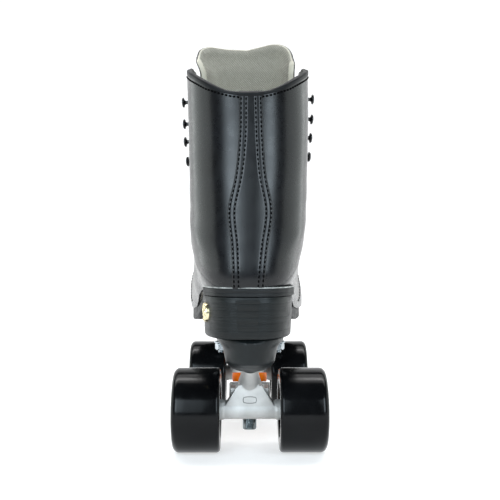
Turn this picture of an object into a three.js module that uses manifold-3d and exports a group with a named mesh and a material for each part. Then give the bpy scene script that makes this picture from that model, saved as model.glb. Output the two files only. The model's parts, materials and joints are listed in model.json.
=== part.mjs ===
// A high-top quad roller skate for the left foot: leather boot on a stacked heel, nylon plate, two steering trucks with
// rubber cushions, four wheels on ball bearings and an adjustable toe stop.
// Millimetres. +Z is up, +Y points to the toe, +X to the wearer's right. The wheels stand on z = 0.
import * as THREE from "three";
import { mergeVertices } from "three/addons/utils/BufferGeometryUtils.js";
import Module from "manifold-3d";

const wasm = await Module();
wasm.setup();

// ---------------------------------------------------------------- driving dimensions
const WHEELBASE = 160;
const REAR_AXLE_Y = -90.5; // puts the middle of the whole skate's length at y = 0
const FRONT_AXLE_Y = REAR_AXLE_Y + WHEELBASE;
const WHEEL_RADIUS = 28.5;
const AXLE_Z = WHEEL_RADIUS;
const WHEEL_INNER_X = 20;
const WHEEL_WIDTH = 32;
const BEARING_X = [22.6, 38.1]; // inner face of each of a wheel's two bearings
const BEARING_WIDTH = 7;
const BEARING_RADIUS = 11;
const AXLE_RADIUS = 4;
const TUBE_HALF_LENGTH = 21.8;
const GAP = 0.3; // left between pieces that touch
const PLATE_TOP = 82;
const PLATE_BOTTOM = 75.5;
const KINGPIN_RADIUS = 4.75;
const KINGPIN_LEAN = THREE.MathUtils.degToRad(10);
const RING_HALF_HEIGHT = 5.5;
const TOE_STEM_RADIUS = 7.9;
const TOE_STEM_LEAN = THREE.MathUtils.degToRad(17);
const UPPER_THICKNESS = 4;
const ROUND = 20; // sides of the large round parts
const SMALL_ROUND = 12;

// Points of a truck, from its axle's centre, with its pivot towards -Y.
const PIVOT = new THREE.Vector3(0, -30, 38.5);
const RING = new THREE.Vector3(0, 20, 10);
const STEER = RING.clone().sub(PIVOT).normalize();
const KINGPIN = new THREE.Vector3(0, Math.sin(KINGPIN_LEAN), Math.cos(KINGPIN_LEAN)); // upwards
const MOUNT_BOLTS = {
  rear_left: [-19.3, REAR_AXLE_Y + 3],
  rear_right: [19.3, REAR_AXLE_Y + 3],
  front_left: [-25, FRONT_AXLE_Y - 32],
  front_right: [25, FRONT_AXLE_Y - 32],
};

// ---------------------------------------------------------------- materials
const finish = (color, roughness, metalness = 0) => new THREE.MeshStandardMaterial({ color, roughness, metalness });
const leather = finish(0x17191c, 0.3);
const lining = finish(0x8d8f85, 0.9);
const soleRubber = finish(0x1d1f21, 0.6);
const nylon = finish(0x1c2022, 0.45);
const urethane = finish(0x0c0d0e, 0.2);
const hubPlastic = finish(0x14161a, 0.4);
const castAluminium = finish(0xc3c6c8, 0.4, 0.9);
const steel = finish(0x9aa2a8, 0.3, 1);
const bearingSteel = finish(0xb4b8ba, 0.25, 1);
const cushionOrange = finish(0xf25a0a, 0.4);
const blackMetal = finish(0x111214, 0.3, 0.6);
const brass = finish(0xd9b65c, 0.25, 1);

// ---------------------------------------------------------------- solids and geometry
const group = new THREE.Group();

/** Adds a geometry or a manifold solid to the skate as a named mesh, in a truck's or wheel's frame if one is given. */
function add(name, shape, material, frame = new THREE.Matrix4()) {
  const geometry = shape.isBufferGeometry ? shape : geometryOf(shape);
  const mesh = new THREE.Mesh(geometry, material);
  mesh.name = name;
  mesh.applyMatrix4(frame);
  group.add(mesh);
}

function solid(geometry) {
  const bare = (geometry.index ? geometry.toNonIndexed() : geometry).clone();
  bare.deleteAttribute("normal");
  bare.deleteAttribute("uv");
  const merged = mergeVertices(bare, 1e-3);
  const triVerts = new Uint32Array(dropFlat(merged.index.array));
  return new wasm.Manifold(new wasm.Mesh({ numProp: 3, vertProperties: merged.attributes.position.array, triVerts }));
}

/** The triangles that keep three different corners. */
function dropFlat(index) {
  const kept = [];
  for (let i = 0; i < index.length; i += 3) {
    const [a, b, c] = [index[i], index[i + 1], index[i + 2]];
    if (a !== b && b !== c && a !== c) kept.push(a, b, c);
  }
  return kept;
}

function geometryOf(manifold) {
  const mesh = manifold.getMesh();
  const points = new Float32Array(mesh.numVert * 3);
  for (let i = 0; i < mesh.numVert; i++) {
    points.set(mesh.vertProperties.subarray(i * mesh.numProp, i * mesh.numProp + 3), i * 3);
  }
  return new THREE.BufferGeometry()
    .setAttribute("position", new THREE.BufferAttribute(points, 3))
    .setIndex(new THREE.BufferAttribute(mesh.triVerts, 1));
}

const join = (solids) => solids.reduce((sum, one) => sum.add(one));
const cut = (body, cutters) => cutters.reduce((left, one) => left.subtract(one), body);

/** A solid of revolution: profile is [radius, along] pairs, closed on the axis or on itself, along a line from origin. */
function turned(profile, origin, direction, sides = ROUND) {
  const points = profile.map(([radius, along]) => new THREE.Vector2(radius, along));
  const turn = new THREE.Quaternion().setFromUnitVectors(new THREE.Vector3(0, 1, 0), direction.clone().normalize());
  return new THREE.LatheGeometry(points, sides).applyQuaternion(turn).translate(origin.x, origin.y, origin.z);
}

const rod = (radius, origin, direction, from, to, sides = SMALL_ROUND) =>
  turned([[0, from], [radius, from], [radius, to], [0, to]], origin, direction, sides);
const washer = (inner, outer, origin, direction, from, to, sides = SMALL_ROUND) =>
  turned([[inner, from], [outer, from], [outer, to], [inner, to], [inner, from]], origin, direction, sides);
/** A six-sided nut with a round bore, chamfered on its outer end. */
function hexNut(corner, bore, origin, direction, from, to) {
  const body = turned([[0, from], [corner, from], [corner, to - 0.8], [corner - 1, to], [0, to]], origin, direction, 6);
  return solid(body).subtract(solid(rod(bore, origin, direction, from - 1, to + 1)));
}
const ORIGIN = new THREE.Vector3();
const X = new THREE.Vector3(1, 0, 0);
const Z = new THREE.Vector3(0, 0, 1);

/** A closed skin over rings of points, which all have the same number. The two ends are fans about their middles, or,
 *  if folded, strips between the first and the second half of the ring. */
function skin(rings, folded = false) {
  const count = rings[0].length;
  const positions = [];
  const face = (a, b, c) => positions.push(...a.toArray(), ...b.toArray(), ...c.toArray());
  const quad = (a, b, c, d) => {
    face(a, b, c);
    face(a, c, d);
  };
  const middle = (ring) => ring.reduce((sum, p) => sum.add(p), new THREE.Vector3()).divideScalar(count);
  const cap = (ring) => {
    for (let k = 0; k < (folded ? count / 2 - 1 : count); k++) {
      if (folded) quad(ring[k], ring[k + 1], ring[count - 2 - k], ring[count - 1 - k]);
      else face(middle(ring), ring[k], ring[(k + 1) % count]);
    }
  };
  for (let i = 0; i + 1 < rings.length; i++) {
    for (let k = 0; k < count; k++) {
      const next = (k + 1) % count;
      quad(rings[i][k], rings[i][next], rings[i + 1][next], rings[i + 1][k]);
    }
  }
  cap([...rings[0]].reverse());
  cap(rings[rings.length - 1]);
  const made = new THREE.BufferGeometry();
  made.setAttribute("position", new THREE.Float32BufferAttribute(positions, 3));
  return outwards(made);
}

/** The geometry with its faces turned round if they point inwards. */
function outwards(geometry) {
  if (solid(geometry).volume() >= 0) return geometry;
  const p = geometry.attributes.position.array;
  for (let i = 0; i < p.length; i += 9) {
    for (let k = 0; k < 3; k++) [p[i + 3 + k], p[i + 6 + k]] = [p[i + 6 + k], p[i + 3 + k]];
  }
  return geometry;
}

/** A polygon in the YZ plane, run across the skate from x = -half to half. */
function acrossX(outline, half) {
  const shape = new THREE.Shape(outline.map(([y, z]) => new THREE.Vector2(y, z)));
  const slab = new THREE.ExtrudeGeometry(shape, { depth: 2 * half, bevelEnabled: false });
  // shape x -> y, shape y -> z, depth -> x
  return slab.applyMatrix4(new THREE.Matrix4().makeBasis(new THREE.Vector3(0, 1, 0), Z, X)).translate(-half, 0, 0);
}

/** A polygon in the XY plane, run upwards from z = low to high. */
function upwards(outline, low, high) {
  const shape = new THREE.Shape(outline.map(([x, y]) => new THREE.Vector2(x, y)));
  return new THREE.ExtrudeGeometry(shape, { depth: high - low, bevelEnabled: false }).translate(0, 0, low);
}

/** A closed smooth curve through the points, as a list of count [x, y] pairs. */
function smoothLoop(points, count) {
  const curve = new THREE.CatmullRomCurve3(points.map(([x, y]) => new THREE.Vector3(x, y, 0)), true);
  return curve.getSpacedPoints(count).slice(0, count).map((p) => [p.x, p.y]);
}

// ---------------------------------------------------------------- wheels
// A wheel is built for the right side about its truck's axle, and turned half round Z for the left.
function wheel(end, side, frame) {
  const outer = WHEEL_INNER_X + WHEEL_WIDTH;
  const mirrored = side === "left" ? new THREE.Matrix4().makeRotationZ(Math.PI) : new THREE.Matrix4();
  const place = frame.clone().multiply(end === "front" ? mirrored.clone().invert() : mirrored);
  const label = `${end}_${side}`;
  const tyre = [
    [18, WHEEL_INNER_X + 2], [20, WHEEL_INNER_X], [26, WHEEL_INNER_X], [WHEEL_RADIUS, WHEEL_INNER_X + 2.6],
    [WHEEL_RADIUS, outer - 4.4], [27.2, outer - 1.3], [24, outer], [20, outer], [18, outer - 2],
    [18, WHEEL_INNER_X + 2],
  ];
  const [first, second] = BEARING_X;
  const seat = BEARING_RADIUS + GAP;
  const hub = [
    [seat, first - 0.8], [17.7, first], [17.7, 48.5], [15.5, 48.5], [13.6, second + BEARING_WIDTH + 0.8],
    [seat, second + BEARING_WIDTH + 0.8], [seat, second - GAP], [8.6, second - GAP], [8.6, first + BEARING_WIDTH + GAP],
    [seat, first + BEARING_WIDTH + GAP], [seat, first - 0.8],
  ];
  add(`tyre_${label}`, turned(tyre, ORIGIN, X), urethane, place);
  add(`hub_${label}`, turned(hub, ORIGIN, X, 16), hubPlastic, place);
  BEARING_X.forEach((x, i) => {
    const bearing = washer(AXLE_RADIUS + GAP, BEARING_RADIUS, ORIGIN, X, x, x + BEARING_WIDTH);
    add(`bearing_${i ? "outer" : "inner"}_${label}`, bearing, bearingSteel, place);
  });
  const nutFrom = second + BEARING_WIDTH + 1;
  add(`axle_nut_${label}`, hexNut(7.4, AXLE_RADIUS + GAP, ORIGIN, X, nutFrom, nutFrom + 6.4), steel, place);
}

// ---------------------------------------------------------------- trucks
// A truck is built about its axle's centre with its pivot towards -Y, and the front one is turned half round Z.
function hanger() {
  const flat = TUBE_HALF_LENGTH - 4;
  const tube = turned(
    [[0, -TUBE_HALF_LENGTH], [6.9, -TUBE_HALF_LENGTH], [6.9, -flat], [6.3, -flat + 0.6], [6.3, flat - 0.6],
      [6.9, flat], [6.9, TUBE_HALF_LENGTH], [0, TUBE_HALF_LENGTH]], ORIGIN, X, 16);
  const web = new THREE.Shape([[-17.4, 2], [-7.9, 18], [7.9, 18], [17.4, 2], [14, -3], [-14, -3]]
    .map(([x, z]) => new THREE.Vector2(x, z)));
  const webSlab = new THREE.ExtrudeGeometry(web, { depth: 11, bevelEnabled: false })
    .applyMatrix4(new THREE.Matrix4().makeBasis(X, Z, new THREE.Vector3(0, -1, 0))).translate(0, 5.5, 0);
  // A shelf carries the cushions' ring on the web's inner face.
  const shelf = acrossX([[-2, 4], [-2, 15.5], [16, 15.5], [16, 4]], 13.2);
  const ring = rod(14.5, RING, KINGPIN, -RING_HALF_HEIGHT, RING_HALF_HEIGHT, ROUND);
  const toPivot = RING.distanceTo(PIVOT);
  const arm = turned(
    [[0, -4], [1.9, -4], [3.6, -3.1], [4.7, -1], [4.8, 0], [4.8, 14], [5.3, 22], [6.5, 32], [8.4, 43],
      [8.4, toPivot], [0, toPivot]],
    PIVOT, STEER, 14);
  // The arm deepens towards the web below the steering axis.
  const keel = turned([[0, 14], [4.8, 14], [5.3, 22], [6.4, 32], [8.1, 43], [8.1, toPivot], [0, toPivot]], PIVOT,
    RING.clone().sub(PIVOT).add(new THREE.Vector3(0, 0, -5)), 14);
  const bores = [
    rod(AXLE_RADIUS + GAP, ORIGIN, X, -40, 40),
    rod(KINGPIN_RADIUS + 1.6, RING, KINGPIN, -20, 20),
    rod(13.2, RING, KINGPIN, RING_HALF_HEIGHT, 40, ROUND),
    turned([[0, -40], [9.3, -40], [9.3, -14.6], [11, -14.2], [11, -11.5], [12.7, -RING_HALF_HEIGHT],
      [0, -RING_HALF_HEIGHT]], RING, KINGPIN, ROUND),
  ];
  return cut(join([tube, webSlab, shelf, ring, arm, keel].map(solid)), bores.map(solid));
}

function kingpin() {
  return turned(
    [[0, -27.6], [3.9, -27.6], [KINGPIN_RADIUS, -26.7], [KINGPIN_RADIUS, 12.3], [5.9, 12.3], [5.9, 15.9],
      [KINGPIN_RADIUS, 15.9], [KINGPIN_RADIUS, 31], [0, 31]], RING, KINGPIN, SMALL_ROUND);
}

function truck(end, frame) {
  const bore = KINGPIN_RADIUS + GAP;
  const top = RING_HALF_HEIGHT + GAP;
  add(`hanger_${end}`, hanger(), castAluminium, frame);
  add(`axle_${end}`, rod(AXLE_RADIUS, ORIGIN, X, -53.5, 53.5), steel, frame);
  add(`kingpin_${end}`, kingpin(), steel, frame);
  const upper = [[bore, top], [12.3, top], [12.3, top + 5.6], [11.8, top + 6.2], [bore, top + 6.2], [bore, top]];
  add(`cushion_upper_${end}`, turned(upper, RING, KINGPIN, 16), cushionOrange, frame);
  const lower = [[bore, -11.5], [10, -11.5], [12, -top], [bore, -top], [bore, -11.5]];
  add(`cushion_lower_${end}`, turned(lower, RING, KINGPIN, 16), cushionOrange, frame);
  const nut = hexNut(8.2, bore, RING, KINGPIN.clone().negate(), 13.3, 19.9);
  const nutWasher = solid(washer(bore, 10.2, RING, KINGPIN, -13.5, -11.9));
  add(`kingpin_nut_${end}`, nut.add(nutWasher), steel, frame);
  const cup = [[0, -8], [7.6, -8], [7.6, 5], [5.2, 5], [5.2, -1], [4.2, -4.2], [2.2, -5.2], [0, -5.2]];
  add(`pivot_cup_${end}`, turned(cup, PIVOT, STEER, SMALL_ROUND), soleRubber, frame);
}

// ---------------------------------------------------------------- toe stop
const TOE_STOP = new THREE.Vector3(0, FRONT_AXLE_Y + 46, 79);
const TOE_DOWN = new THREE.Vector3(0, Math.sin(TOE_STEM_LEAN), -Math.cos(TOE_STEM_LEAN));

function toeStop() {
  const pad = [[TOE_STEM_RADIUS + GAP, 29], [15, 29], [18, 31], [21, 44], [21, 47.5], [19.5, 50], [0, 50], [0, 44],
    [TOE_STEM_RADIUS + GAP, 44]];
  add("toe_stop_pad", turned([...pad, pad[0]], TOE_STOP, TOE_DOWN, 18), soleRubber);
  const stem = [[0, 1], [TOE_STEM_RADIUS, 1], [TOE_STEM_RADIUS, 43.7], [0, 43.7]];
  add("toe_stop_stem", turned(stem, TOE_STOP, TOE_DOWN, 16), steel);
  add("toe_stop_nut", hexNut(12.7, TOE_STEM_RADIUS + 0.4, TOE_STOP, TOE_DOWN, 15.3, 21.5), steel);
}

// ---------------------------------------------------------------- plate
/** An ellipse of points at height z, centred on the skate's middle plane. */
function ellipse(z, y, halfX, halfY) {
  return Array.from({ length: ROUND }, (_, k) => {
    const angle = (2 * Math.PI * k) / ROUND;
    return new THREE.Vector3(halfX * Math.cos(angle), y + halfY * Math.sin(angle), z);
  });
}

function plate(frames) {
  const r = REAR_AXLE_Y;
  const f = FRONT_AXLE_Y;
  const halfOutline = [[0, r - 51], [12, r - 48], [20, r - 35], [23, r - 12], [23.5, r + 12], [19.5, r + 36],
    [14.5, r + 60], [16, f - 66], [27, f - 50], [33, f - 30], [33, f + 4], [28, f + 28], [17, f + 48], [0, f + 57]];
  const outline = [...halfOutline, ...halfOutline.slice(1, -1).reverse().map(([x, y]) => [-x, y])];
  const flange = (z, share) => smoothLoop(outline, 56).map(([x, y]) => new THREE.Vector3(x * share, y, z));
  const parts = [skin([flange(PLATE_TOP, 1), flange(PLATE_TOP - 2.5, 1), flange(PLATE_BOTTOM, 0.84)])];
  // A deep spine between the two trucks keeps the plate straight.
  parts.push(skin([ellipse(PLATE_BOTTOM + 1, (r + f) / 2, 12, 68), ellipse(62, (r + f) / 2, 8, 54)]));
  const holes = [];
  for (const frame of frames) {
    const here = (geometry) => geometry.clone().applyMatrix4(frame);
    const housing = [
      ellipse(PLATE_TOP - 2 - AXLE_Z, -28, 19.5, 24.5), ellipse(PLATE_BOTTOM - AXLE_Z, -28, 17.6, 23.5),
      ellipse(66 - AXLE_Z, -28, 15.6, 21.5), ellipse(62.5 - AXLE_Z, -26.5, 13.8, 15.5),
      ellipse(60.4 - AXLE_Z, -24.5, 11, 12.5), ellipse(59.4 - AXLE_Z, -24.5, 7.5, 9),
    ];
    parts.push(here(skin(housing)));
    parts.push(here(turned([[0, 16.2], [7.2, 16.2], [9.5, 24], [9.5, 40], [0, 40]], RING, KINGPIN, 16)));
    holes.push(here(rod(7.6 + GAP, PIVOT, STEER, -8.3, 40)));
    holes.push(here(rod(KINGPIN_RADIUS + GAP, RING, KINGPIN, 10, 31.3)));
  }
  parts.push(rod(13.5, TOE_STOP, TOE_DOWN, -0.5, 15, 16));
  holes.push(rod(TOE_STEM_RADIUS + 0.4, TOE_STOP, TOE_DOWN, -20, 40));
  for (const [x, y] of Object.values(MOUNT_BOLTS)) {
    holes.push(rod(2.5 + GAP, new THREE.Vector3(x, y, 0), Z, 50, 100, 12));
  }
  const above = upwards([[-60, r - 80], [60, r - 80], [60, f + 80], [-60, f + 80]], PLATE_TOP, PLATE_TOP + 20);
  return cut(join(parts.map(solid)), [...holes, above].map(solid));
}

function mountBolt(name, [x, y], top) {
  const seat = PLATE_BOTTOM - GAP;
  const profile = [[0, 67.2], [2, 67.2], [2.5, 67.7], [2.5, 68.8], [4.4, 69.4], [4.4, 74], [5.2, 74], [5.2, seat],
    [2.5, seat], [2.5, top], [0, top]];
  add(`mount_bolt_${name}`, turned(profile, new THREE.Vector3(x, y, 0), Z, 8), steel);
}

// ---------------------------------------------------------------- boot shape
// The boot is a sock of cross-sections. Each runs from a point on the back or the bottom to a point on the front or the
// top, fanned about the bend of the instep. Distances along Y are from the rear axle.
// [back y, back z, front y, front z, half width, centre x, widest share, back power, front power]
const STATIONS = [
  [-47, 237, 60, 278, 41.5, -1.5, 0.0, 2.5, 5.2],
  [-45, 212, 58, 253, 41.5, -1.0, 0.0, 2.4, 4.8],
  [-45, 188, 59, 230, 41.0, -1.0, 0.0, 2.4, 4.3],
  [-48, 165, 63, 211, 40.5, -1.0, 0.0, 2.3, 3.7],
  [-53, 145, 69, 197, 40.0, -1.2, 0.0, 2.3, 3.1],
  [-57, 127, 76, 187, 39.5, -1.5, 0.05, 2.4, 2.6],
  [-55, 109, 83, 179, 39.0, -1.8, 0.1, 2.4, 2.3],
  [-38, 100, 90, 172, 38.5, -2.0, 0.1, 2.6, 2.2],
  [-8, 99, 97, 166, 38.5, -2.4, 0.0, 2.8, 2.2],
  [25, 95, 105, 160, 39.5, -3.0, -0.1, 3.0, 2.2],
  [58, 88, 115, 154, 42.0, -3.0, -0.2, 3.2, 2.2],
  [90, 83, 128, 148, 45.5, -2.6, -0.3, 3.6, 2.2],
  [118, 81, 144, 142.5, 48.0, -1.6, -0.4, 4.0, 2.3],
  [145, 80.5, 162, 137, 47.6, 0.2, -0.4, 4.0, 2.4],
  [170, 81, 181, 131, 43.8, 2.6, -0.4, 3.8, 2.5],
  [190, 82.5, 197, 123.5, 37.4, 4.8, -0.35, 3.4, 2.5],
  [206, 84, 209, 114.5, 28.5, 6.4, -0.3, 3.0, 2.4],
  [217, 86.5, 218, 105, 16.5, 7.4, -0.2, 2.6, 2.3],
  [222.5, 90, 223, 96, 5.0, 8.0, 0.0, 2.2, 2.2],
];
const LAST = STATIONS.length - 1;
const SECTION_SIDES = 24;
const COLLAR_RISE = 9.8;
const COLLAR_DIP = 2;

/** The nine station values at t, which counts stations: a smooth curve through the table, straight on before its start. */
function station(t) {
  if (t < 0) return STATIONS[0].map((v, c) => v + (STATIONS[1][c] - v) * t * (c < 4 ? 1 : 0));
  const i = Math.min(LAST - 1, Math.floor(t));
  const u = t - i;
  const at = (n) => STATIONS[Math.max(0, Math.min(LAST, n))];
  return STATIONS[i].map((_, c) => {
    const [a, b, d, e] = [at(i - 1)[c], at(i)[c], at(i + 1)[c], at(i + 2)[c]];
    return 0.5 * (2 * b + (d - a) * u + (2 * a - 5 * b + 4 * d - e) * u * u + (3 * b - a - 3 * d + e) * u * u * u);
  });
}

const { smoothstep, clamp, lerp } = THREE.MathUtils;

/** How far the collar's line rises at each side, in stations: it dips at the back. */
function collarRise(t, angle) {
  const side = Math.sin((Math.PI / 2) * Math.abs(Math.sin(angle))) ** 2;
  const fade = (1 - smoothstep(Math.abs(angle), 1.35, 2)) * clamp(1 - t / 2.2, 0, 1);
  return ((COLLAR_RISE * side - COLLAR_DIP) / 25) * fade;
}

/** The share of its half width that the boot loses at a height: the counter tucks in to the heel seat. */
function heelTuck(y, z) {
  const slim = 0.085 * (1 - smoothstep(z, 124, 150));
  const tuck = 0.13 * clamp((HEEL_TOP + 6 - z) / 6, 0, 1.1) ** 1.5;
  return (slim + tuck) * (1 - smoothstep(y, -10, 35));
}

/** The boot's surface at station t and angle round it: 0 at the back or bottom, pi at the front or top, right side first.
 *  inset moves the point into the boot. */
function bootPoint(t, angle, inset = 0) {
  const turn = angle - 2 * Math.PI * Math.round(angle / (2 * Math.PI));
  const [yb, zb, yf, zf, width, centre, widest, backPower, frontPower] = station(t - collarRise(t, turn));
  const half = Math.hypot(yf - yb, zf - zb) / 2;
  const long = half - inset;
  const [c, s] = [-Math.cos(angle), Math.sin(angle)];
  const power = c < 0 ? backPower : frontPower;
  const reach = c < 0 ? 1 + widest : 1 - widest;
  const along = widest * long + Math.sign(c) * reach * long * Math.abs(c) ** (2 / power);
  // The top corners of the open collar flare outwards.
  const flare = 4 * Math.max(0, along / half - 0.2) ** 2 * Math.max(0, 1 - Math.max(0, t) / 1.5);
  const across = Math.sign(s) * ((width - inset) * Math.abs(s) ** (2 / power) + flare);
  const [dy, dz] = [(yf - yb) / (2 * half), (zf - zb) / (2 * half)];
  const [y, z] = [(yb + yf) / 2 + dy * along, (zb + zf) / 2 + dz * along];
  return new THREE.Vector3(centre + across * (1 - heelTuck(y, z)), REAR_AXLE_Y + y, z);
}

function section(t, inset) {
  return Array.from({ length: SECTION_SIDES }, (_, k) => bootPoint(t, (2 * Math.PI * k) / SECTION_SIDES, inset));
}

function sock(from, to, inset, steps = 22) {
  return solid(skin(Array.from({ length: steps + 1 }, (_, i) => section(from + ((to - from) * i) / steps, inset))));
}

/** A closed sheet on the boot between two insets. edge(a, b) gives [t, angle] for a and b from 0 to 1. */
function sheet(edge, outerInset, innerInset, across, along, place = bootPoint) {
  const rings = [];
  for (let j = 0; j <= along; j++) {
    const row = (inset) => Array.from({ length: across + 1 }, (_, i) => place(...edge(i / across, j / along), inset));
    rings.push([...row(outerInset), ...row(innerInset).reverse()]);
  }
  return skin(rings, true);
}

// ---------------------------------------------------------------- sole and heel
const HEEL_TOP = 114;
const FORE_TOP = 92.5;
const HEEL_BASE = 108.7;
const SOLE_LINE = [[-75, HEEL_TOP], [-12, HEEL_TOP], [12, 111.5], [40, 104], [70, 96], [95, FORE_TOP], [165, FORE_TOP],
  [195, 94], [235, 98.5]];
const soleTop = (raise) => SOLE_LINE.map(([y, z]) => [REAR_AXLE_Y + y, z + raise]);

/** Everything below the upper's lower edge. */
function belowSole() {
  const r = REAR_AXLE_Y;
  return solid(acrossX([[r - 75, 40], [r + 235, 40], ...soleTop(GAP).reverse()], 90));
}

function soleOutline(margin, count) {
  const points = [[-1.5, -57], [-20.5, -50], [-30, -30], [-31.5, -5], [-33, 25], [-38, 60], [-44.5, 95],
    [-47.4, 125], [-45.8, 155], [-38, 187], [-22, 212], [4, 224.5], [27, 216], [39.5, 191], [43.8, 160], [43.8, 130], [38.5, 95],
    [31, 60], [27.5, 25], [28.5, -5], [28, -30], [18, -50.5]];
  const middle = [0, 85];
  return smoothLoop(points.map(([x, y]) => {
    const reach = Math.hypot(x - middle[0], (y - middle[1]) / 2.6);
    return [x + (margin * (x - middle[0])) / reach, REAR_AXLE_Y + y + (margin * (y - middle[1])) / 2.6 / reach];
  }), count);
}

function outsole() {
  const r = REAR_AXLE_Y;
  const bottom = [[235, 88.5], [200, 84.3], [170, PLATE_TOP + GAP], [92, PLATE_TOP + GAP], [68, 88], [40, 98],
    [18, HEEL_BASE], [-75, HEEL_BASE]].map(([y, z]) => [r + y, z]);
  const side = acrossX([...soleTop(0), ...bottom], 70);
  return solid(side).intersect(solid(upwards(soleOutline(0, 60), 60, 140)));
}

/** A point of the heel's outline, drawn in by lean: 0 is its right side, a quarter turn is its back. */
function heelPoint(angle, lean) {
  const [c, s] = [Math.cos(angle), Math.sin(angle)];
  return [-1.5 + (29.8 - lean) * Math.sign(c) * Math.abs(c) ** 0.68, REAR_AXLE_Y - 8 - (48 - lean) * s ** 0.86];
}

function heelBlock() {
  const levels = [[HEEL_BASE - GAP, 0], [98, 0.3], [PLATE_TOP + GAP + 1.2, 1], [PLATE_TOP + GAP, 2]];
  const breast = [[-29.4, 17], [-14, 13.5], [0, 12], [14, 13.5], [29.4, 17]];
  return skin(levels.map(([z, lean]) => {
    const back = Array.from({ length: 17 }, (_, k) => heelPoint((Math.PI * k) / 16, lean));
    const front = breast.map(([x, y]) => [x - 1.5 - Math.sign(x) * lean * (Math.abs(x) / 29.4), REAR_AXLE_Y + y]);
    return [...back, ...front].map(([x, y]) => new THREE.Vector3(x, y, z));
  }));
}

// ---------------------------------------------------------------- upper
/** The space between the eyestays, from the collar down to the throat. */
function throatCutter() {
  const rows = [[-1.2, 55, 18], [0, 52, 16], [1, 48, 14.5], [2, 44, 13.5], [3, 38, 12.5], [4, 30, 12], [5.5, 22, 12],
    [7.5, 16, 12], [9, 13, 12], [10.3, 10.5, 12], [11, 5, 12]];
  return solid(skin(rows.map(([t, half, depth]) => {
    const [yb, zb, yf, zf, , centre] = station(t);
    const up = new THREE.Vector3(0, yf - yb, zf - zb).normalize();
    const front = new THREE.Vector3(centre, REAR_AXLE_Y + yf, zf);
    const corner = (x, out) => front.clone().addScaledVector(up, out).add(new THREE.Vector3(x, 0, 0));
    return [corner(-half, 14), corner(half, 14), corner(half, -depth), corner(-half, -depth)];
  })));
}

/** The side view of everything behind the seam between the quarters and the vamp. */
function behindVamp(shift) {
  const r = REAR_AXLE_Y + shift;
  const seam = [[148, 190], [140, 152], [130, 136], [112, 122], [96, 110], [86, 98], [82, 80]];
  return solid(acrossX([[r - 120, 80], ...seam.reverse().map(([y, z]) => [r + y, z]), [r + 148, 330], [r - 120, 330]], 90));
}

function upper() {
  const shell = sock(0, LAST, 0).subtract(sock(-0.6, LAST - 0.45, UPPER_THICKNESS)).subtract(belowSole());
  const rear = shell.intersect(behindVamp(-GAP)).subtract(throatCutter());
  const half = (sign) => {
    const x = [sign * GAP / 2, sign * 90].sort((a, b) => a - b).map((v) => v - 1.2);
    return solid(upwards([[x[0], -250], [x[1], -250], [x[1], 250], [x[0], 250]], 60, 340));
  };
  const largest = (body) => body.decompose().sort((a, b) => b.volume() - a.volume())[0];
  add("quarter_lateral", largest(rear.intersect(half(-1))), leather);
  add("quarter_medial", largest(rear.intersect(half(1))), leather);
  add("vamp", largest(shell.subtract(behindVamp(0))), leather);
}

// The tongue's top edge, from its right side to its left: [share of its half width, height].
const TONGUE_TOP = [[-1, 273], [-0.95, 286.5], [-0.86, 293.3], [-0.7, 296.9], [-0.5, 297.2], [-0.28, 295.2],
  [0.02, 292.6], [0.32, 293], [0.7, 293.8], [0.87, 290.5], [0.95, 285], [1, 274.5]];

/** A point of the tongue: the boot's surface, spread a little to the left where it stands free of the collar. */
function tonguePoint(t, angle, inset) {
  const free = clamp((-t - 0.25) / 0.5, 0, 1);
  const p = bootPoint(t, angle, inset - 1.7 * free);
  p.x -= 1.6 * free;
  return p;
}

function tongue() {
  const outer = UPPER_THICKNESS + 0.8;
  const topHeight = (part) => {
    const side = Math.sign(part) * (Math.sin(Math.abs(part) * 1.2) / Math.sin(1.2)) ** (2 / STATIONS[0][8]);
    const i = clamp(TONGUE_TOP.findIndex(([at]) => at >= side), 1, TONGUE_TOP.length - 1);
    const [[s0, z0], [s1, z1]] = [TONGUE_TOP[i - 1], TONGUE_TOP[i]];
    return z0 + ((z1 - z0) * (side - s0)) / (s1 - s0);
  };
  const topStation = (side) => {
    let t = -0.5;
    for (let k = 0; k < 8; k++) t += (tonguePoint(t, Math.PI + side * 1.2, outer).z - topHeight(side)) / 25;
    return t;
  };
  const edge = (a, b) => {
    const side = 2 * a - 1;
    const top = topStation(side);
    const t = top + (11.2 - top) * b ** 1.5; // more rows near the top
    return [t, Math.PI + side * lerp(1.2, 0.42, clamp(t / 7, 0, 1))];
  };
  return sheet(edge, outer, UPPER_THICKNESS + 5.3, 12, 16, tonguePoint);
}

function backstay() {
  const widths = [[0, 6.2], [1.5, 6.4], [2.2, 8], [2.9, 12], [3.3, 13], [4, 11.6], [5, 10.4], [6.2, 10.2]];
  const halfWidth = (t) => {
    const i = Math.max(0, widths.findIndex(([at]) => at > t) - 1);
    const [[t0, w0], [t1, w1]] = [widths[i], widths[i + 1]];
    return w0 + ((w1 - w0) * (t - t0)) / (t1 - t0);
  };
  const edge = (a, b) => {
    const t = 0.03 + 6 * b;
    const [, , , , width, , , backPower] = station(t);
    const angle = Math.asin(((Math.abs(2 * a - 1) * halfWidth(t)) / width) ** (backPower / 2));
    return [t, Math.sign(2 * a - 1) * angle];
  };
  return solid(sheet(edge, -1.8, -GAP - 0.1, 8, 18)).subtract(belowSole());
}

function insole() {
  const r = REAR_AXLE_Y;
  const slab = acrossX([...soleTop(GAP), ...soleTop(3.6).reverse()].map(([y, z]) => [Math.min(y, r + 214), z]), 60);
  return solid(slab).intersect(sock(-0.6, LAST - 0.6, UPPER_THICKNESS + 2 * GAP));
}

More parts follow.
